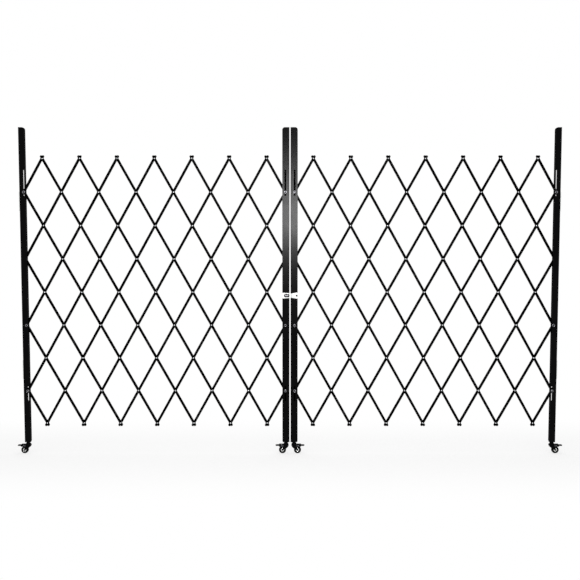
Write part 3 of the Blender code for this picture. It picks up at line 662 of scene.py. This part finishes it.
def add_bar_rivets(half, side, number, crossings):
    domes, rings, shanks = [], [], []
    for column, row in crossings:
        spot = crossing(side, column, row)
        kind = rivet_kind(column, row)
        if kind == "plain":
            domes.append((spot + to_front * (layer_face + bar_wall), to_front))
            domes.append((spot + to_back * rear_head_face, to_back))
        elif kind == "sliding":
            front = post_half_depth + running_gap
            back, back_heads = (front, rings) if column == 0 else (rear_head_face, domes)
            rings.append((spot + to_front * front, to_front))
            back_heads.append((spot + to_back * back, to_back))
            shanks.append(shank(spot, -front, back))
    name = f"{half}_front_bar_{number:02d}"
    meshes = [heads_at(domes, rivet_head_radius, 0, rivet_head_height, 12, 3, nickel)]
    if rings:
        meshes += [heads_at(rings, *post_heads), *shanks]
    return assembled(f"{name}_rivets", meshes, name)


rivets = [add_bar_rivets(half, side, *bar) for half, side in halves for bar in front_bars()]
print("rivet pieces:", len(rivets), "with", sum(len(piece.data.polygons) for piece in rivets), "faces")

# %% [markdown]
# ## The posts
# A post is the same kind of channel, 34 to 40 mm wide, with the lattice's end bars inside it. Two of its
# rivets slide in long slots as the gate folds, so the slots are as long as that travel. The channel tree
# bends the section. Cutters then take out the slots, and a rounded outline trims the corners that face the
# lattice, where hands reach.

# %% Posts, their slots and their large rivets
wall_post_width = 34.0 * mm
lead_post_width = 39.5 * mm
post_wall = 1.5 * mm
post_bend = 1.7 * mm
post_foot_corner = 8.5 * mm
post_top_corner = 14.5 * mm
slot_width = 9.2 * mm
slot_end_room = {1: 12.0 * mm, 7: 1.0 * mm}
slot_run_out = {1: 22.0 * mm, 7: 27.5 * mm}
cut_past = 4.0 * mm
caster_top = joints["right_wall_caster_swivel"].z
wall_post_x = joints["right_wall_caster_swivel"].x
lead_post_x = joints["right_lead_caster_swivel"].x
post_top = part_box("right_wall_post")[1].z
fold_range = next(joint for joint in frame["joints"] if joint["name"] == "right_fold")["range_deg"][1]
folded_row_pitch = rivet_pitch * math.cos(lean - math.radians(fold_range))


def slot_cutters(rivet_x, back):
    """Cutters for the slots of a post, from past each rivet's folded place to a little past its place now."""
    cutters = []
    for row in sliding_rows:
        rows_up = fixed_row - row
        way = math.copysign(1, rows_up)
        past_rivet = way * (slot_end_room[row] + slot_width / 2)
        folded_end = wall_crossing.z + rows_up * folded_row_pitch + past_rivet
        spread_end = wall_crossing.z + rows_up * row_pitch - way * slot_run_out[row]
        outline = obround((rivet_x, (folded_end + spread_end) / 2), abs(folded_end - spread_end), slot_width)
        cutters.append(prism(outline, -post_half_depth - cut_past, back, "Y"))
    return cutters


def corner_trim(post_x, post_width, open_side):
    """The outline that trims a post's open corners. It runs past the web, whose corners stay square."""
    web = post_x - open_side * (post_width / 2 + cut_past)
    free_edge = post_x + open_side * post_width / 2
    outwards = 0 if open_side > 0 else math.pi
    foot_centre = (free_edge - open_side * post_foot_corner, caster_top + post_foot_corner)
    top_centre = (free_edge - open_side * post_top_corner, post_top - post_top_corner)
    foot_corner = arc(foot_centre, post_foot_corner, -math.pi / 2, -outwards, 12)
    top_corner = arc(top_centre, post_top_corner, outwards, math.pi / 2, 12)
    outline = [(web, caster_top), *foot_corner, *top_corner, (web, post_top)]
    return prism(outline, -post_half_depth - cut_past, post_half_depth + cut_past, "Y")


def post_channel(post_x, post_width, open_side, cutters):
    """A post's bent and cut sheet."""
    piece = grown("channel", pressed_channel, {
        "Width": 2 * post_half_depth, "Depth": post_width, "Wall": post_wall, "Bend": post_bend,
        "Low": caster_top - cut_past, "High": post_top + cut_past, "Material": post_coat,
    })
    turn = Matrix.Rotation(-open_side * math.pi / 2, 4, "Z")
    piece.data.transform(Matrix.Translation((post_x - open_side * post_width / 2, 0, 0)) @ turn)
    outward(piece.data)
    carved(piece, "INTERSECT", [corner_trim(post_x, post_width, open_side)])
    carved(piece, "DIFFERENCE", cutters)
    return paint_shade_inside(coated(taken(rounded(piece, 0.35 * mm, 2)), post_coat))


def paint_shade_inside(mesh):
    """Gives the flanges' inner faces a darker coat without gloss: painted shade, because little light reaches the
    inside of a channel.
    """
    mesh.materials.append(shaded_inner_coat)
    for face in mesh.polygons:
        faces_in = abs(face.normal.y) > 0.9 and face.normal.y * face.center.y < 0
        if faces_in and abs(face.center.y) > post_half_depth - 1.2 * post_wall:
            face.material_index = 1
    return mesh


# %% [markdown]
# ## What is welded to a post
# A foot plate closes the post, and the caster's neck and kingpin hang from it. A wall post also has two
# plates welded to its web, each with two holes for the screws into the wall. The hollow of a wall post's back
# shows the rivets' other heads.

# %% Foot plate, neck, kingpin and wall plates
foot_plate = 2.2 * mm
neck_radius = 11.0 * mm
neck_height = 6.0 * mm
kingpin_radius = 4.0 * mm
crown_top = -12.3 * mm
crown_wall = 2.0 * mm
crown_bottom = crown_top - crown_wall
wall_plate_length = 106.0 * mm
wall_plate_depth = 19.0 * mm
wall_plate_thickness = 4.0 * mm
wall_screw_spacing = 70.0 * mm
wall_screw_radius = 3.0 * mm
wall_plate_heights = [
    mount["pos_m"][2] for mount in frame["record"]["mounts"] if mount["name"].startswith("right")
]
kingpin_head = 6.2 * mm


def foot_and_neck(post_x, post_width):
    inner = post_half_depth - post_wall - 0.05 * mm
    half = post_width / 2 - post_wall
    corners = oblong(post_x - half, -inner, post_x + half, inner)
    foot = prism(corners, caster_top + 0.05 * mm, caster_top + foot_plate, "Z")
    neck = lathe([
        (neck_radius - 1.2 * mm, caster_top + 0.4 * mm), (neck_radius + 0.6 * mm, caster_top - 0.1 * mm),
        (neck_radius, caster_top - 1.4 * mm), (neck_radius, caster_top - neck_height + 0.6 * mm),
        (neck_radius - 0.6 * mm, caster_top - neck_height),
    ], "Z", 40, (post_x, 0, 0))
    head = caster_top + crown_bottom - running_gap
    kingpin = lathe([
        (kingpin_radius, caster_top - neck_height + 0.3 * mm), (kingpin_radius, head), (kingpin_head, head),
        (kingpin_head, head - 1.2 * mm), (kingpin_head - 1.6 * mm, head - 2.0 * mm),
    ], "Z", 28, (post_x, 0, 0))
    return [coated(foot, post_coat), coated(neck, caster_coat), coated(kingpin, nickel)]


def fixed_rivet(spot):
    """The rivet that carries the lattice, rolled over outside both flanges."""
    heads = heads_at([(spot + way * post_half_depth, way) for way in (to_front, to_back)], *post_heads)
    return [heads, shank(spot, -post_half_depth, post_half_depth)]


def screw_cutters(side, heights, thickness):
    """Cutters for the wall screws' holes, through a post's web and what lies on it."""
    web = side * (wall_post_x + wall_post_width / 2)
    reach = sorted((web - side * cut_past, web + side * (thickness + cut_past)))
    centres = [(0, 0, height + end * wall_screw_spacing / 2) for height in heights for end in (-1, 1)]
    return [lathe([(wall_screw_radius, place) for place in reach], "X", 24, centre) for centre in centres]


def wall_plate(side, height):
    """A plate with broken edges and two screw holes, on the outside of a wall post's web."""
    web = side * (wall_post_x + wall_post_width / 2)
    half_length, half_depth = wall_plate_length / 2, wall_plate_depth / 2
    outline = oblong(-half_depth, height - half_length, half_depth, height + half_length)
    plate = new_object("plate", prism(outline, *sorted((web, web + side * wall_plate_thickness)), "X"))
    carved(plate, "DIFFERENCE", screw_cutters(side, [height], wall_plate_thickness))
    return coated(taken(rounded(plate, 0.5 * mm, 2)), zinc)


def add_post(name, body, side, post_x, post_width, open_side, column, cutters, extras):
    """A post with its foot, its fixed rivet at its column of crossings, and what else is welded to it."""
    meshes = [post_channel(side * post_x, post_width, open_side, cutters)]
    meshes += foot_and_neck(side * post_x, post_width)
    meshes += fixed_rivet(crossing(side, column, fixed_row)) + extras
    return assembled(f"{name}_built", meshes, body, "post_coat", name)


wall_posts = []
for half, side in halves:
    cutters = slot_cutters(crossing(side, 0, fixed_row).x, post_half_depth + cut_past)
    cutters += screw_cutters(side, wall_plate_heights, 0)
    plates = [wall_plate(side, height) for height in wall_plate_heights]
    wall_posts.append(add_post(
        f"{half}_wall_post", "root", side, wall_post_x, wall_post_width, -side, 0, cutters, plates,
    ))
print("wall posts:", [len(post.data.polygons) for post in wall_posts], "faces")

# %% [markdown]
# ## The lead posts
# The two lead posts meet in the middle of the gate. The left one has two eyes with a bar between them, and a
# padlock's shackle goes round that bar. The right one has a hole for the bolt that holds the hasp.

# %% Lead posts with the padlock's bar
hasp_axis = joints["hasp_swing"]
hasp_height = hasp_axis.z
web_gap = lead_post_x - lead_post_width / 2
lock_x = -(web_gap + 0.3737 * lead_post_width)
lock_eye_length = 24.0 * mm
lock_eye_width = 5.8 * mm
lock_bar_width = 7.4 * mm
lock_sleeve_length = 20.0 * mm
leaf_bolt_x = web_gap + 0.855 * lead_post_width
leaf_bolt_radius = 2.8 * mm
eye_rise = (lock_bar_width + lock_eye_width) / 2


def lead_post_cutters(side):
    cutters = slot_cutters(side * crossing(1, column_steps, fixed_row).x, 0)
    front, back = -post_half_depth - cut_past, 0
    if side < 0:
        for rise in (-eye_rise, eye_rise):
            outline = obround((lock_x, hasp_height + rise), lock_eye_length, lock_eye_width, False)
            cutters.append(prism(outline, front, back, "Y"))
    else:
        hole = [(leaf_bolt_radius + running_gap, place) for place in (front, back)]
        cutters.append(lathe(hole, "Y", 24, (leaf_bolt_x, 0, hasp_height)))
    return cutters


def lock_sleeve():
    """A plated sleeve over the bar that the shackle goes round, so that it can't rub the coat off."""
    half_length, half_width, proud = lock_sleeve_length / 2, lock_bar_width / 2 + 0.1 * mm, 0.18 * mm
    outline = oblong(
        lock_x - half_length, hasp_height - half_width, lock_x + half_length, hasp_height + half_width,
    )
    front, back = -post_half_depth - proud, -post_half_depth + post_wall + proud
    sleeve = new_object("sleeve", prism(outline, front, back, "Y"))
    return coated(taken(rounded(sleeve, 0.6 * mm, 3)), black_zinc)


lead_posts = []
for half, side in halves:
    name = f"{half}_lead_post"
    lead_posts.append(add_post(
        name, name, side, lead_post_x, lead_post_width, side, column_steps, lead_post_cutters(side),
        [lock_sleeve()] if side < 0 else [],
    ))
print("lead posts:", [len(post.data.polygons) for post in lead_posts], "faces")

# %% [markdown]
# ## The casters
# Each caster is a small swivel wheel with a foot brake. A cup with the ball race hangs on the kingpin, and
# opens like a bell onto the crown of a fork that is pressed from one strip. The wheel has a bright pressed
# hub in a dark tyre, and the brake pedal is a thin plate that lies almost level behind it.

# %% Cup, fork and axle
wheel_radius = joints["right_lead_caster_roll"].z
wheel_trail = abs(joints["right_lead_caster_roll"].x - lead_post_x)
axle_drop = caster_top - wheel_radius
wheel_half = 8.0 * mm
fork_inner = wheel_half + 1.5 * mm
fork_outer = fork_inner + 2.0 * mm
fork_nose = 15.2 * mm
fork_nose_skirt = crown_top - 6.2 * mm
fork_tail_skirt = crown_top - 13.5 * mm
axle_centre = (-wheel_trail, 0, -axle_drop)
axle_place = Matrix.Translation(axle_centre)
fork_eye = 4.8 * mm
fork_tail = wheel_trail + 19.9 * mm
fork_leg_width = 11.5 * mm
fork_belly_share = 0.52
fork_belly = 6.5 * mm
fork_bend = 2.8 * mm
window_tail, window_nose = -28.5 * mm, -13.5 * mm
window_low, window_high = crown_bottom - 9.4 * mm, crown_bottom - 5.0 * mm
axle_radius = 3.0 * mm
axle_head = 4.6 * mm
race_bore = 4.6 * mm
pedal_pin_radius = 1.7 * mm
pedal_pin_head = 2.3 * mm
pedal_pin_back = 4.5 * mm
pedal_hub = 4.0 * mm
pedal_pin_x = -(wheel_trail + pedal_pin_back)
pedal_pin_z = crown_bottom - 0.8 * mm - pedal_hub


def cup():
    """The race cup, from its rolled rim under the post's neck down to the fork's crown."""
    return lathe([
        (race_bore, -6.4 * mm), (10.6 * mm, -6.4 * mm), (11.8 * mm, -6.8 * mm), (12.9 * mm, -7.8 * mm),
        (13.8 * mm, -9.2 * mm), (14.6 * mm, -10.5 * mm), (15.0 * mm, -11.4 * mm), (14.8 * mm, -12.0 * mm),
        (13.6 * mm, crown_top - 0.2 * mm),
    ], "Z", 48)


def leg_edge(top, foot, belly, steps=10):
    """A leg's front edge, from the crown's skirt to the axle's eye, with a forward belly."""
    points = []
    for step in range(steps + 1):
        share = step / steps
        bulge = belly * math.sin(math.pi * share)
        points.append((top[0] + share * (foot[0] - top[0]) + bulge, top[1] + share * (foot[1] - top[1])))
    return points


def strip_ends(half, top, bend, steps):
    """The end view of a strip that is bent down on both sides, as an outline that is open below."""
    below = -caster_top - cut_past
    left = arc((bend - half, top - bend), bend, math.pi, math.pi / 2, steps)
    right = arc((half - bend, top - bend), bend, math.pi / 2, 0, steps)
    return prism([(-half, below), *left, *right, (half, below)], -2 * fork_tail, 2 * fork_tail, "X")


def fork():
    """A strip's side outline, kept inside its bent end view, with the room for the wheel cut out."""
    eye = arc((-wheel_trail, -axle_drop), fork_eye, 0, -math.pi, 18)
    tail_round, nose_round = 3 * mm, 2.5 * mm
    tail_x, nose_x = tail_round - fork_tail, fork_nose - nose_round
    tail = arc((tail_x, crown_top - tail_round), tail_round, math.pi, math.pi / 2, 6)
    nose = arc((nose_x, crown_top - nose_round), nose_round, math.pi / 2, 0, 6)
    tail_foot = arc((tail_x, fork_tail_skirt + tail_round), tail_round, -math.pi / 2, -math.pi, 6)
    front_edge = leg_edge((fork_nose, fork_nose_skirt), (fork_eye - wheel_trail, -axle_drop), fork_belly)
    belly_x = fork_nose + fork_belly_share * (fork_eye - wheel_trail - fork_nose)
    leg_back = (belly_x - fork_leg_width, fork_tail_skirt)
    outline = [*tail, *nose, *front_edge, *eye, leg_back, *tail_foot]
    piece = new_object("fork", prism(outline, -fork_outer, fork_outer, "Y"))
    carved(piece, "INTERSECT", [strip_ends(fork_outer, crown_top, fork_bend, 6)])
    carved(piece, "DIFFERENCE", [
        strip_ends(fork_inner, crown_bottom, fork_bend - crown_wall, 4),
        lathe([(race_bore, crown_top + cut_past), (race_bore, crown_bottom - cut_past)], "Z", 28),
        prism(spring_window(0), -2 * fork_outer, 2 * fork_outer, "Y"),
    ])
    return taken(rounded(piece, 0.4 * mm, 2))


def spring_window(margin):
    """The window in the fork's sides over the wheel, grown by a margin."""
    return oblong(window_tail - margin, window_low - margin, window_nose + margin, window_high + margin)


def brake_spring():
    """The plated spring plate that lifts the pedal, folded up inside the fork behind the window."""
    plates = []
    for side in (-1, 1):
        near, far = sorted((side * (fork_inner - 0.1 * mm), side * (fork_inner - 0.6 * mm)))
        plates.append(prism(spring_window(1.2 * mm), near, far, "Y"))
    return plates


def axle_bolt():
    """The axle: a domed head in front, a nut with its washer behind."""
    front, back = -fork_outer, fork_outer
    profiles = (
        (28, [
            (1.6 * mm, front - 2.4 * mm), (3.0 * mm, front - 2.2 * mm), (3.8 * mm, front - 1.5 * mm),
            (axle_head, front - 0.5 * mm), (axle_head, front + 0.1 * mm),
        ]),
        (24, [(axle_radius, front), (axle_radius, back)]),
        (28, [(axle_head, back - 0.1 * mm), (axle_head, back + 0.5 * mm)]),
        (6, [(4.1 * mm, back + 0.4 * mm), (4.1 * mm, back + 2.0 * mm), (3.5 * mm, back + 2.4 * mm)]),
    )
    return [lathe(profile, "Y", sides, axle_centre) for sides, profile in profiles]


def mirrored(profile):
    """A lathe profile with its own mirror image behind it."""
    return profile + [(radius, -place) for radius, place in reversed(profile)]


def pedal_pin():
    half = fork_outer + 0.5 * mm
    profile = [
        (1.2 * mm, -half), (pedal_pin_head, -half + 0.4 * mm), (pedal_pin_head, -fork_outer + 0.1 * mm),
        (pedal_pin_radius, -fork_outer),
    ]
    return lathe(mirrored(profile), "Y", 20, (pedal_pin_x, 0, pedal_pin_z))


# %% Brake pedal
pedal_reach = 34.5 * mm
pedal_thickness = 2.6 * mm
pedal_half = fork_inner - 0.8 * mm
pedal_droop = 1.4 * mm
pedal_side_root = 4.5 * mm
pedal_side_tip = 2.2 * mm
pedal_round_end = 5.0 * mm
pedal_lip = 1.3 * mm
grip_pitch = 3.2 * mm
grip_radius = 0.55 * mm
grip_inset = 3.5 * mm
brake_angle = math.radians(20)


def pedal():
    """About its pin: a rolled hub, a foot plate with turned-down sides, and the shoe near the tyre."""
    rise = pedal_pin_z + axle_drop
    shoe_reach = math.hypot(pedal_pin_back, rise) - wheel_radius - 0.4 * mm
    towards_wheel = math.atan2(-rise, pedal_pin_back)
    shoe = towards_wheel - brake_angle
    hub = arc((0, 0), pedal_hub, math.pi / 2, towards_wheel, 16)
    foot = pedal_hub - pedal_thickness
    lip_centre = (pedal_lip - pedal_reach, pedal_hub - pedal_droop - pedal_lip)
    lip = arc(lip_centre, pedal_lip, math.pi, math.pi / 2, 6)
    outline = [
        *hub, (shoe_reach * math.cos(shoe), shoe_reach * math.sin(shoe)), (-pedal_hub, -pedal_hub / 2),
        (-pedal_hub - pedal_thickness, foot - pedal_side_root),
        (-pedal_reach, foot - pedal_droop - pedal_side_tip), *lip,
    ]
    piece = new_object("pedal", prism(outline, -pedal_half, pedal_half, "Y"))
    end_x, end_y = pedal_round_end - pedal_reach, pedal_half - pedal_round_end
    back = arc((end_x, end_y), pedal_round_end, math.pi / 2, math.pi, 8)
    front = arc((end_x, -end_y), pedal_round_end, math.pi, 1.5 * math.pi, 8)
    plan = [(2 * pedal_hub, pedal_half), *back, *front, (2 * pedal_hub, -pedal_half)]
    carved(piece, "INTERSECT", [prism(plan, -2 * wheel_radius, 2 * wheel_radius, "Z")])
    bore_radius = pedal_pin_head + 0.05 * mm
    bore = lathe([(bore_radius, -fork_outer), (bore_radius, fork_outer)], "Y", 20)
    carved(piece, "DIFFERENCE", [bore])
    rounded(piece, 0.3 * mm, 2)
    grips = []
    for number in range(4):
        along = -pedal_reach + pedal_round_end + grip_pitch * number
        top = pedal_hub - pedal_droop * (-along - pedal_hub) / (pedal_reach - pedal_hub)
        bead = arc((along, top - 0.25 * mm), grip_radius, 0, 2 * math.pi, 8)[:-1]
        grips.append(prism(bead, -pedal_half + grip_inset, pedal_half - grip_inset, "Y"))
    mesh = taken(joined("pedal", [coated(part, caster_coat) for part in (taken(piece), *grips)]))
    mesh.transform(Matrix.Translation((pedal_pin_x, 0, pedal_pin_z)))
    return mesh


# %% Wheel: a pressed hub in a rubber tyre
def tyre():
    shoulder = arc((17.0 * mm, 5.0 * mm), 3.0 * mm, math.pi / 2, 0, 6)
    crown = [(wheel_radius, 3.0 * mm), (wheel_radius, 0.5 * mm)]
    front = [(8.6 * mm, 6.9 * mm), (9.3 * mm, 7.6 * mm), (10.6 * mm, wheel_half), *shoulder, *crown]
    return lathe(mirrored(front), "Y", 64)


def hub():
    return lathe(mirrored([
        (3.2 * mm, wheel_half), (4.4 * mm, wheel_half), (4.7 * mm, 7.7 * mm), (4.9 * mm, 7.2 * mm),
        (8.0 * mm, 7.2 * mm), (8.4 * mm, 7.4 * mm), (8.8 * mm, 7.3 * mm), (9.1 * mm, 6.9 * mm),
        (9.1 * mm, 6.0 * mm),
    ]), "Y", 48)


def placed(meshes, place):
    for mesh in meshes:
        mesh.transform(place)
    return meshes


def add_caster(half, side, kind):
    """A caster's pieces. Its wheel trails away from the middle of the gate."""
    name = f"{half}_{kind}_caster"
    place = Matrix.Translation(joints[f"{name}_swivel"]) @ Matrix.Rotation(0 if side < 0 else math.pi, 4, "Z")
    meshes = [coated(mesh, caster_coat) for mesh in (cup(), fork(), *axle_bolt())]
    meshes += [coated(mesh, black_zinc) for mesh in (pedal_pin(), *brake_spring())]
    if kind == "wall":
        meshes.append(pedal())
    else:
        plate = placed([pedal()], place)
        brake = f"{half}_lead_brake_pedal"
        assembled(f"{half}_lead_brake_plate", plate, brake, "caster_steel", brake)
    yoke = assembled(f"{name}_yoke", placed(meshes, place), f"{name}_fork", "caster_steel", f"{name}_fork")
    meshes = placed([coated(tyre(), rubber), coated(hub(), hub_zinc)], place @ axle_place)
    roller = assembled(f"{name}_roller", meshes, f"{name}_wheel", "caster_tyre", f"{name}_wheel")
    return yoke, roller


for half, side in halves:
    for kind in ("wall", "lead"):
        yoke, roller = add_caster(half, side, kind)
        print(yoke.name, len(yoke.data.polygons), roller.name, len(roller.data.polygons), "faces")

# %% [markdown]
# ## The hasp
# The hasp is stamped from bright zinc-plated sheet. Its two plates widen away from the hinge, so it looks
# like a bow tie. The leaf is bolted to the right post, and the strap swings over the left one. Each plate is
# curled round the pin in turn, which makes the three knuckles.

# %% Leaf, strap, knuckles and bolt
hasp_plate = 1.5 * mm
hasp_back = -post_half_depth - running_gap
hasp_front = hasp_back - hasp_plate
knuckle_radius = 2.85 * mm
hinge_width = 25.5 * mm
knuckle_outer = hinge_width / 2 - 1.0 * mm
knuckle_inner = knuckle_outer * 0.46
plate_end = web_gap + lead_post_width + 0.2 * mm
leaf_width = 34.5 * mm
strap_width = 32.5 * mm
strap_slot_length = 31.0 * mm
strap_slot_width = 19.5 * mm
plate_corner = 3.0 * mm
curl_lip = 0.25 * mm
bolt_head = 5.2 * mm
hasp_pin_radius = 1.3 * mm
hasp_pin_tip = 0.8 * mm
leaf_nut_radius = 5.1 * mm


def hasp_outline(way, end_width):
    """A plate that widens from the hinge to its round-cornered end."""
    inset = way * (plate_end - plate_corner)
    reach = end_width / 2 - plate_corner
    outwards = 0 if way > 0 else math.pi
    lower = arc((inset, hasp_height - reach), plate_corner, -math.pi / 2, -outwards, 8)
    upper = arc((inset, hasp_height + reach), plate_corner, outwards, math.pi / 2, 8)
    low, high = hasp_height - hinge_width / 2, hasp_height + hinge_width / 2
    return [(hasp_axis.x, low), *lower, *upper, (hasp_axis.x, high)]


def hasp_plate_mesh(name, way, end_width, rooms, cutters=()):
    """A hasp plate, cut free of the other plate's knuckles over these (low, high) heights from the middle."""
    x_low, x_high = sorted((hasp_axis.x - way * cut_past, hasp_axis.x + way * (knuckle_radius + running_gap)))
    front, back = hasp_axis.y - knuckle_radius - cut_past, hasp_back + cut_past
    piece = new_object(name, prism(hasp_outline(way, end_width), hasp_front, hasp_back, "Y"))
    for low, high in rooms:
        room = oblong(x_low, hasp_height + low, x_high, hasp_height + high)
        carved(piece, "DIFFERENCE", [prism(room, front, back, "Y")])
    carved(piece, "DIFFERENCE", cutters)
    return taken(rounded(piece, 0.35 * mm, 3))


def knuckle(low, high):
    """A plate's curled edge about the pin, between two heights from the middle, with broken ends."""
    low, high = hasp_height + low, hasp_height + high
    return lathe([
        (knuckle_radius - curl_lip, low), (knuckle_radius, low + curl_lip), (knuckle_radius, high - curl_lip),
        (knuckle_radius - curl_lip, high),
    ], "Z", 32, (hasp_axis.x, hasp_axis.y, 0))


plate_edge = hinge_width / 2 + cut_past
middle_room = knuckle_inner + running_gap


def add_leaf():
    rooms = [(-middle_room, middle_room), (-plate_edge, -knuckle_outer), (knuckle_outer, plate_edge)]
    pin_end = knuckle_outer + 0.3 * mm
    pin = lathe([
        (hasp_pin_tip, hasp_height - pin_end), (hasp_pin_radius, hasp_height - pin_end + 0.3 * mm),
        (hasp_pin_radius, hasp_height + pin_end - 0.3 * mm), (hasp_pin_tip, hasp_height + pin_end),
    ], "Z", 20, (hasp_axis.x, hasp_axis.y, 0))
    plate = hasp_plate_mesh("leaf", 1, leaf_width, rooms)
    knuckles = [knuckle(-knuckle_outer, -middle_room), knuckle(middle_room, knuckle_outer)]
    meshes = [coated(mesh, zinc) for mesh in (plate, pin, *knuckles)]
    inside = -post_half_depth + post_wall + running_gap
    bolt = (
        (32, [
            (2.0 * mm, hasp_front - 2.4 * mm), (3.4 * mm, hasp_front - 2.2 * mm),
            (4.6 * mm, hasp_front - 1.4 * mm), (bolt_head, hasp_front - 0.3 * mm),
            (bolt_head, hasp_front + 0.1 * mm),
        ]),
        (24, [(leaf_bolt_radius, hasp_front), (leaf_bolt_radius, inside)]),
        (6, [(leaf_nut_radius, inside), (leaf_nut_radius, inside + post_wall)]),
    )
    for sides, profile in bolt:
        meshes.append(coated(lathe(profile, "Y", sides, (leaf_bolt_x, 0, hasp_height)), black_oxide))
    return assembled("hasp_leaf_stamped", meshes, "right_lead_post", "hasp_zinc", "hasp_leaf")


def add_strap():
    rooms = [(-plate_edge, -knuckle_inner), (knuckle_inner, plate_edge)]
    slot = obround((lock_x, hasp_height), strap_slot_length, strap_slot_width, False, 20)
    cutter = prism(slot, hasp_front - cut_past, hasp_back + cut_past, "Y")
    plate = hasp_plate_mesh("strap", -1, strap_width, rooms, [cutter])
    meshes = [coated(mesh, zinc) for mesh in (plate, knuckle(-knuckle_inner, knuckle_inner))]
    return assembled("hasp_strap_stamped", meshes, "hasp_strap", "hasp_zinc", "hasp_strap")


hasp = (add_leaf(), add_strap())
print("hasp:", [len(piece.data.polygons) for piece in hasp], "faces")

# %% [markdown]
# ## Floor and light
# The photograph is a cut-out on white, taken under broad studio light. A large floor runs back to a white
# world, and both are plain white to the camera and to reflections. The floor also takes some real light, so
# that the wheels keep their soft shadow. Two small boxes near the camera are seen only in gloss: they draw
# the band of light on the posts' upper half. A wide box in front and one overhead light everything softly.

# %% A pale floor that keeps the shadow
floor_shape = bmesh.new()
bmesh.ops.create_grid(floor_shape, x_segments=1, y_segments=1, size=30)
floor_mesh = bpy.data.meshes.new("studio_floor")
floor_shape.to_mesh(floor_mesh)
floor_shape.free()
floor = new_object("studio_floor", floor_mesh)
floor_material = bpy.data.materials.new("pale studio floor")
floor_material.use_nodes = True
floor_tree = floor_material.node_tree
feed(floor_tree, shader_of(floor_tree), Base_Color=linear("f4f4f4"), Roughness=0.9)
rays = node(floor_tree, "ShaderNodeLightPath")
seen = node(floor_tree, maths, highest, rays["Is Camera Ray"], rays["Is Glossy Ray"])[0]
floor_coords = node(floor_tree, "ShaderNodeTexCoord")["Object"]
floor_place = node(floor_tree, "ShaderNodeSeparateXYZ", {}, floor_coords)
away = node(floor_tree, maths, absolute, floor_place["Y"])[0]
from_gate = node(
    floor_tree, "ShaderNodeMapRange", {"interpolation_type": "SMOOTHSTEP"}, Value=away,
    From_Min=0.15, From_Max=0.9, To_Min=0.72, To_Max=1.0,
)
white_share = node(floor_tree, maths, times, seen, from_gate["Result"])[0]
white = node(floor_tree, "ShaderNodeEmission", Strength=1.0)[0]
painted = floor_tree.nodes["Principled BSDF"].outputs[0]
floor_mix = node(floor_tree, "ShaderNodeMixShader", {}, white_share, painted, white)
feed(floor_tree, floor_tree.nodes["Material Output"].inputs, Surface=floor_mix[0])
floor.data.materials.append(floor_material)

# %% White world
ambient = 0.45
world = bpy.data.worlds.new("white studio")
scene.world = world
world.use_nodes = True
sky = world.node_tree
rays = node(sky, "ShaderNodeLightPath")
seen = node(sky, maths, highest, rays["Is Camera Ray"], rays["Is Transmission Ray"])[0]
seen = node(sky, maths, highest, seen, rays["Is Glossy Ray"])[0]
strength = node(sky, maths, times_plus, seen, 1.0 - ambient, ambient)[0]
feed(sky, sky.nodes["Background"].inputs, Color=(1, 1, 1, 1), Strength=strength)


# %% Soft boxes
def soft_box(name, place, aim, width, height, power, lights_paint=True):
    """A rectangular lamp. One that doesn't light paint is seen only in its gloss."""
    lamp = bpy.data.lights.new(name, "AREA")
    lamp.shape = "RECTANGLE"
    lamp.size = width
    lamp.size_y = height
    lamp.energy = power
    holder = new_object(name, lamp)
    holder.location = place
    holder.rotation_euler = (Vector(aim) - Vector(place)).to_track_quat("-Z", "Y").to_euler()
    holder.visible_diffuse = lights_paint


soft_box("box behind the camera", (0.0, -4.8, 1.43), (0, 0, 1.35), 0.5, 0.4, 105, False)
soft_box("box over the camera", (0.0, -4.8, 1.85), (0, 0, 1.6), 0.5, 0.4, 38, False)
soft_box("wide front box", (0.0, -4.4, 3.9), (0, 0, 0.9), 4.5, 1.2, 60)
soft_box("top box", (0.0, 0.4, 4.6), (0, 0, 0.6), 4.5, 3.0, 110)

# %% [markdown]
# ## The camera
# The photograph looks straight at the gate from four and a half metres, a little above its middle and tilted
# down.

# %% Camera at the photograph's view
camera = bpy.data.cameras.new("photograph")
camera_tilt = 3.815
camera.lens = 50
camera.sensor_width = 36
camera_holder = new_object("photograph", camera)
camera_holder.location = (0, -4.504, 1.228)
camera_holder.rotation_euler = (math.radians(90 - camera_tilt), 0, 0)
scene.camera = camera_holder
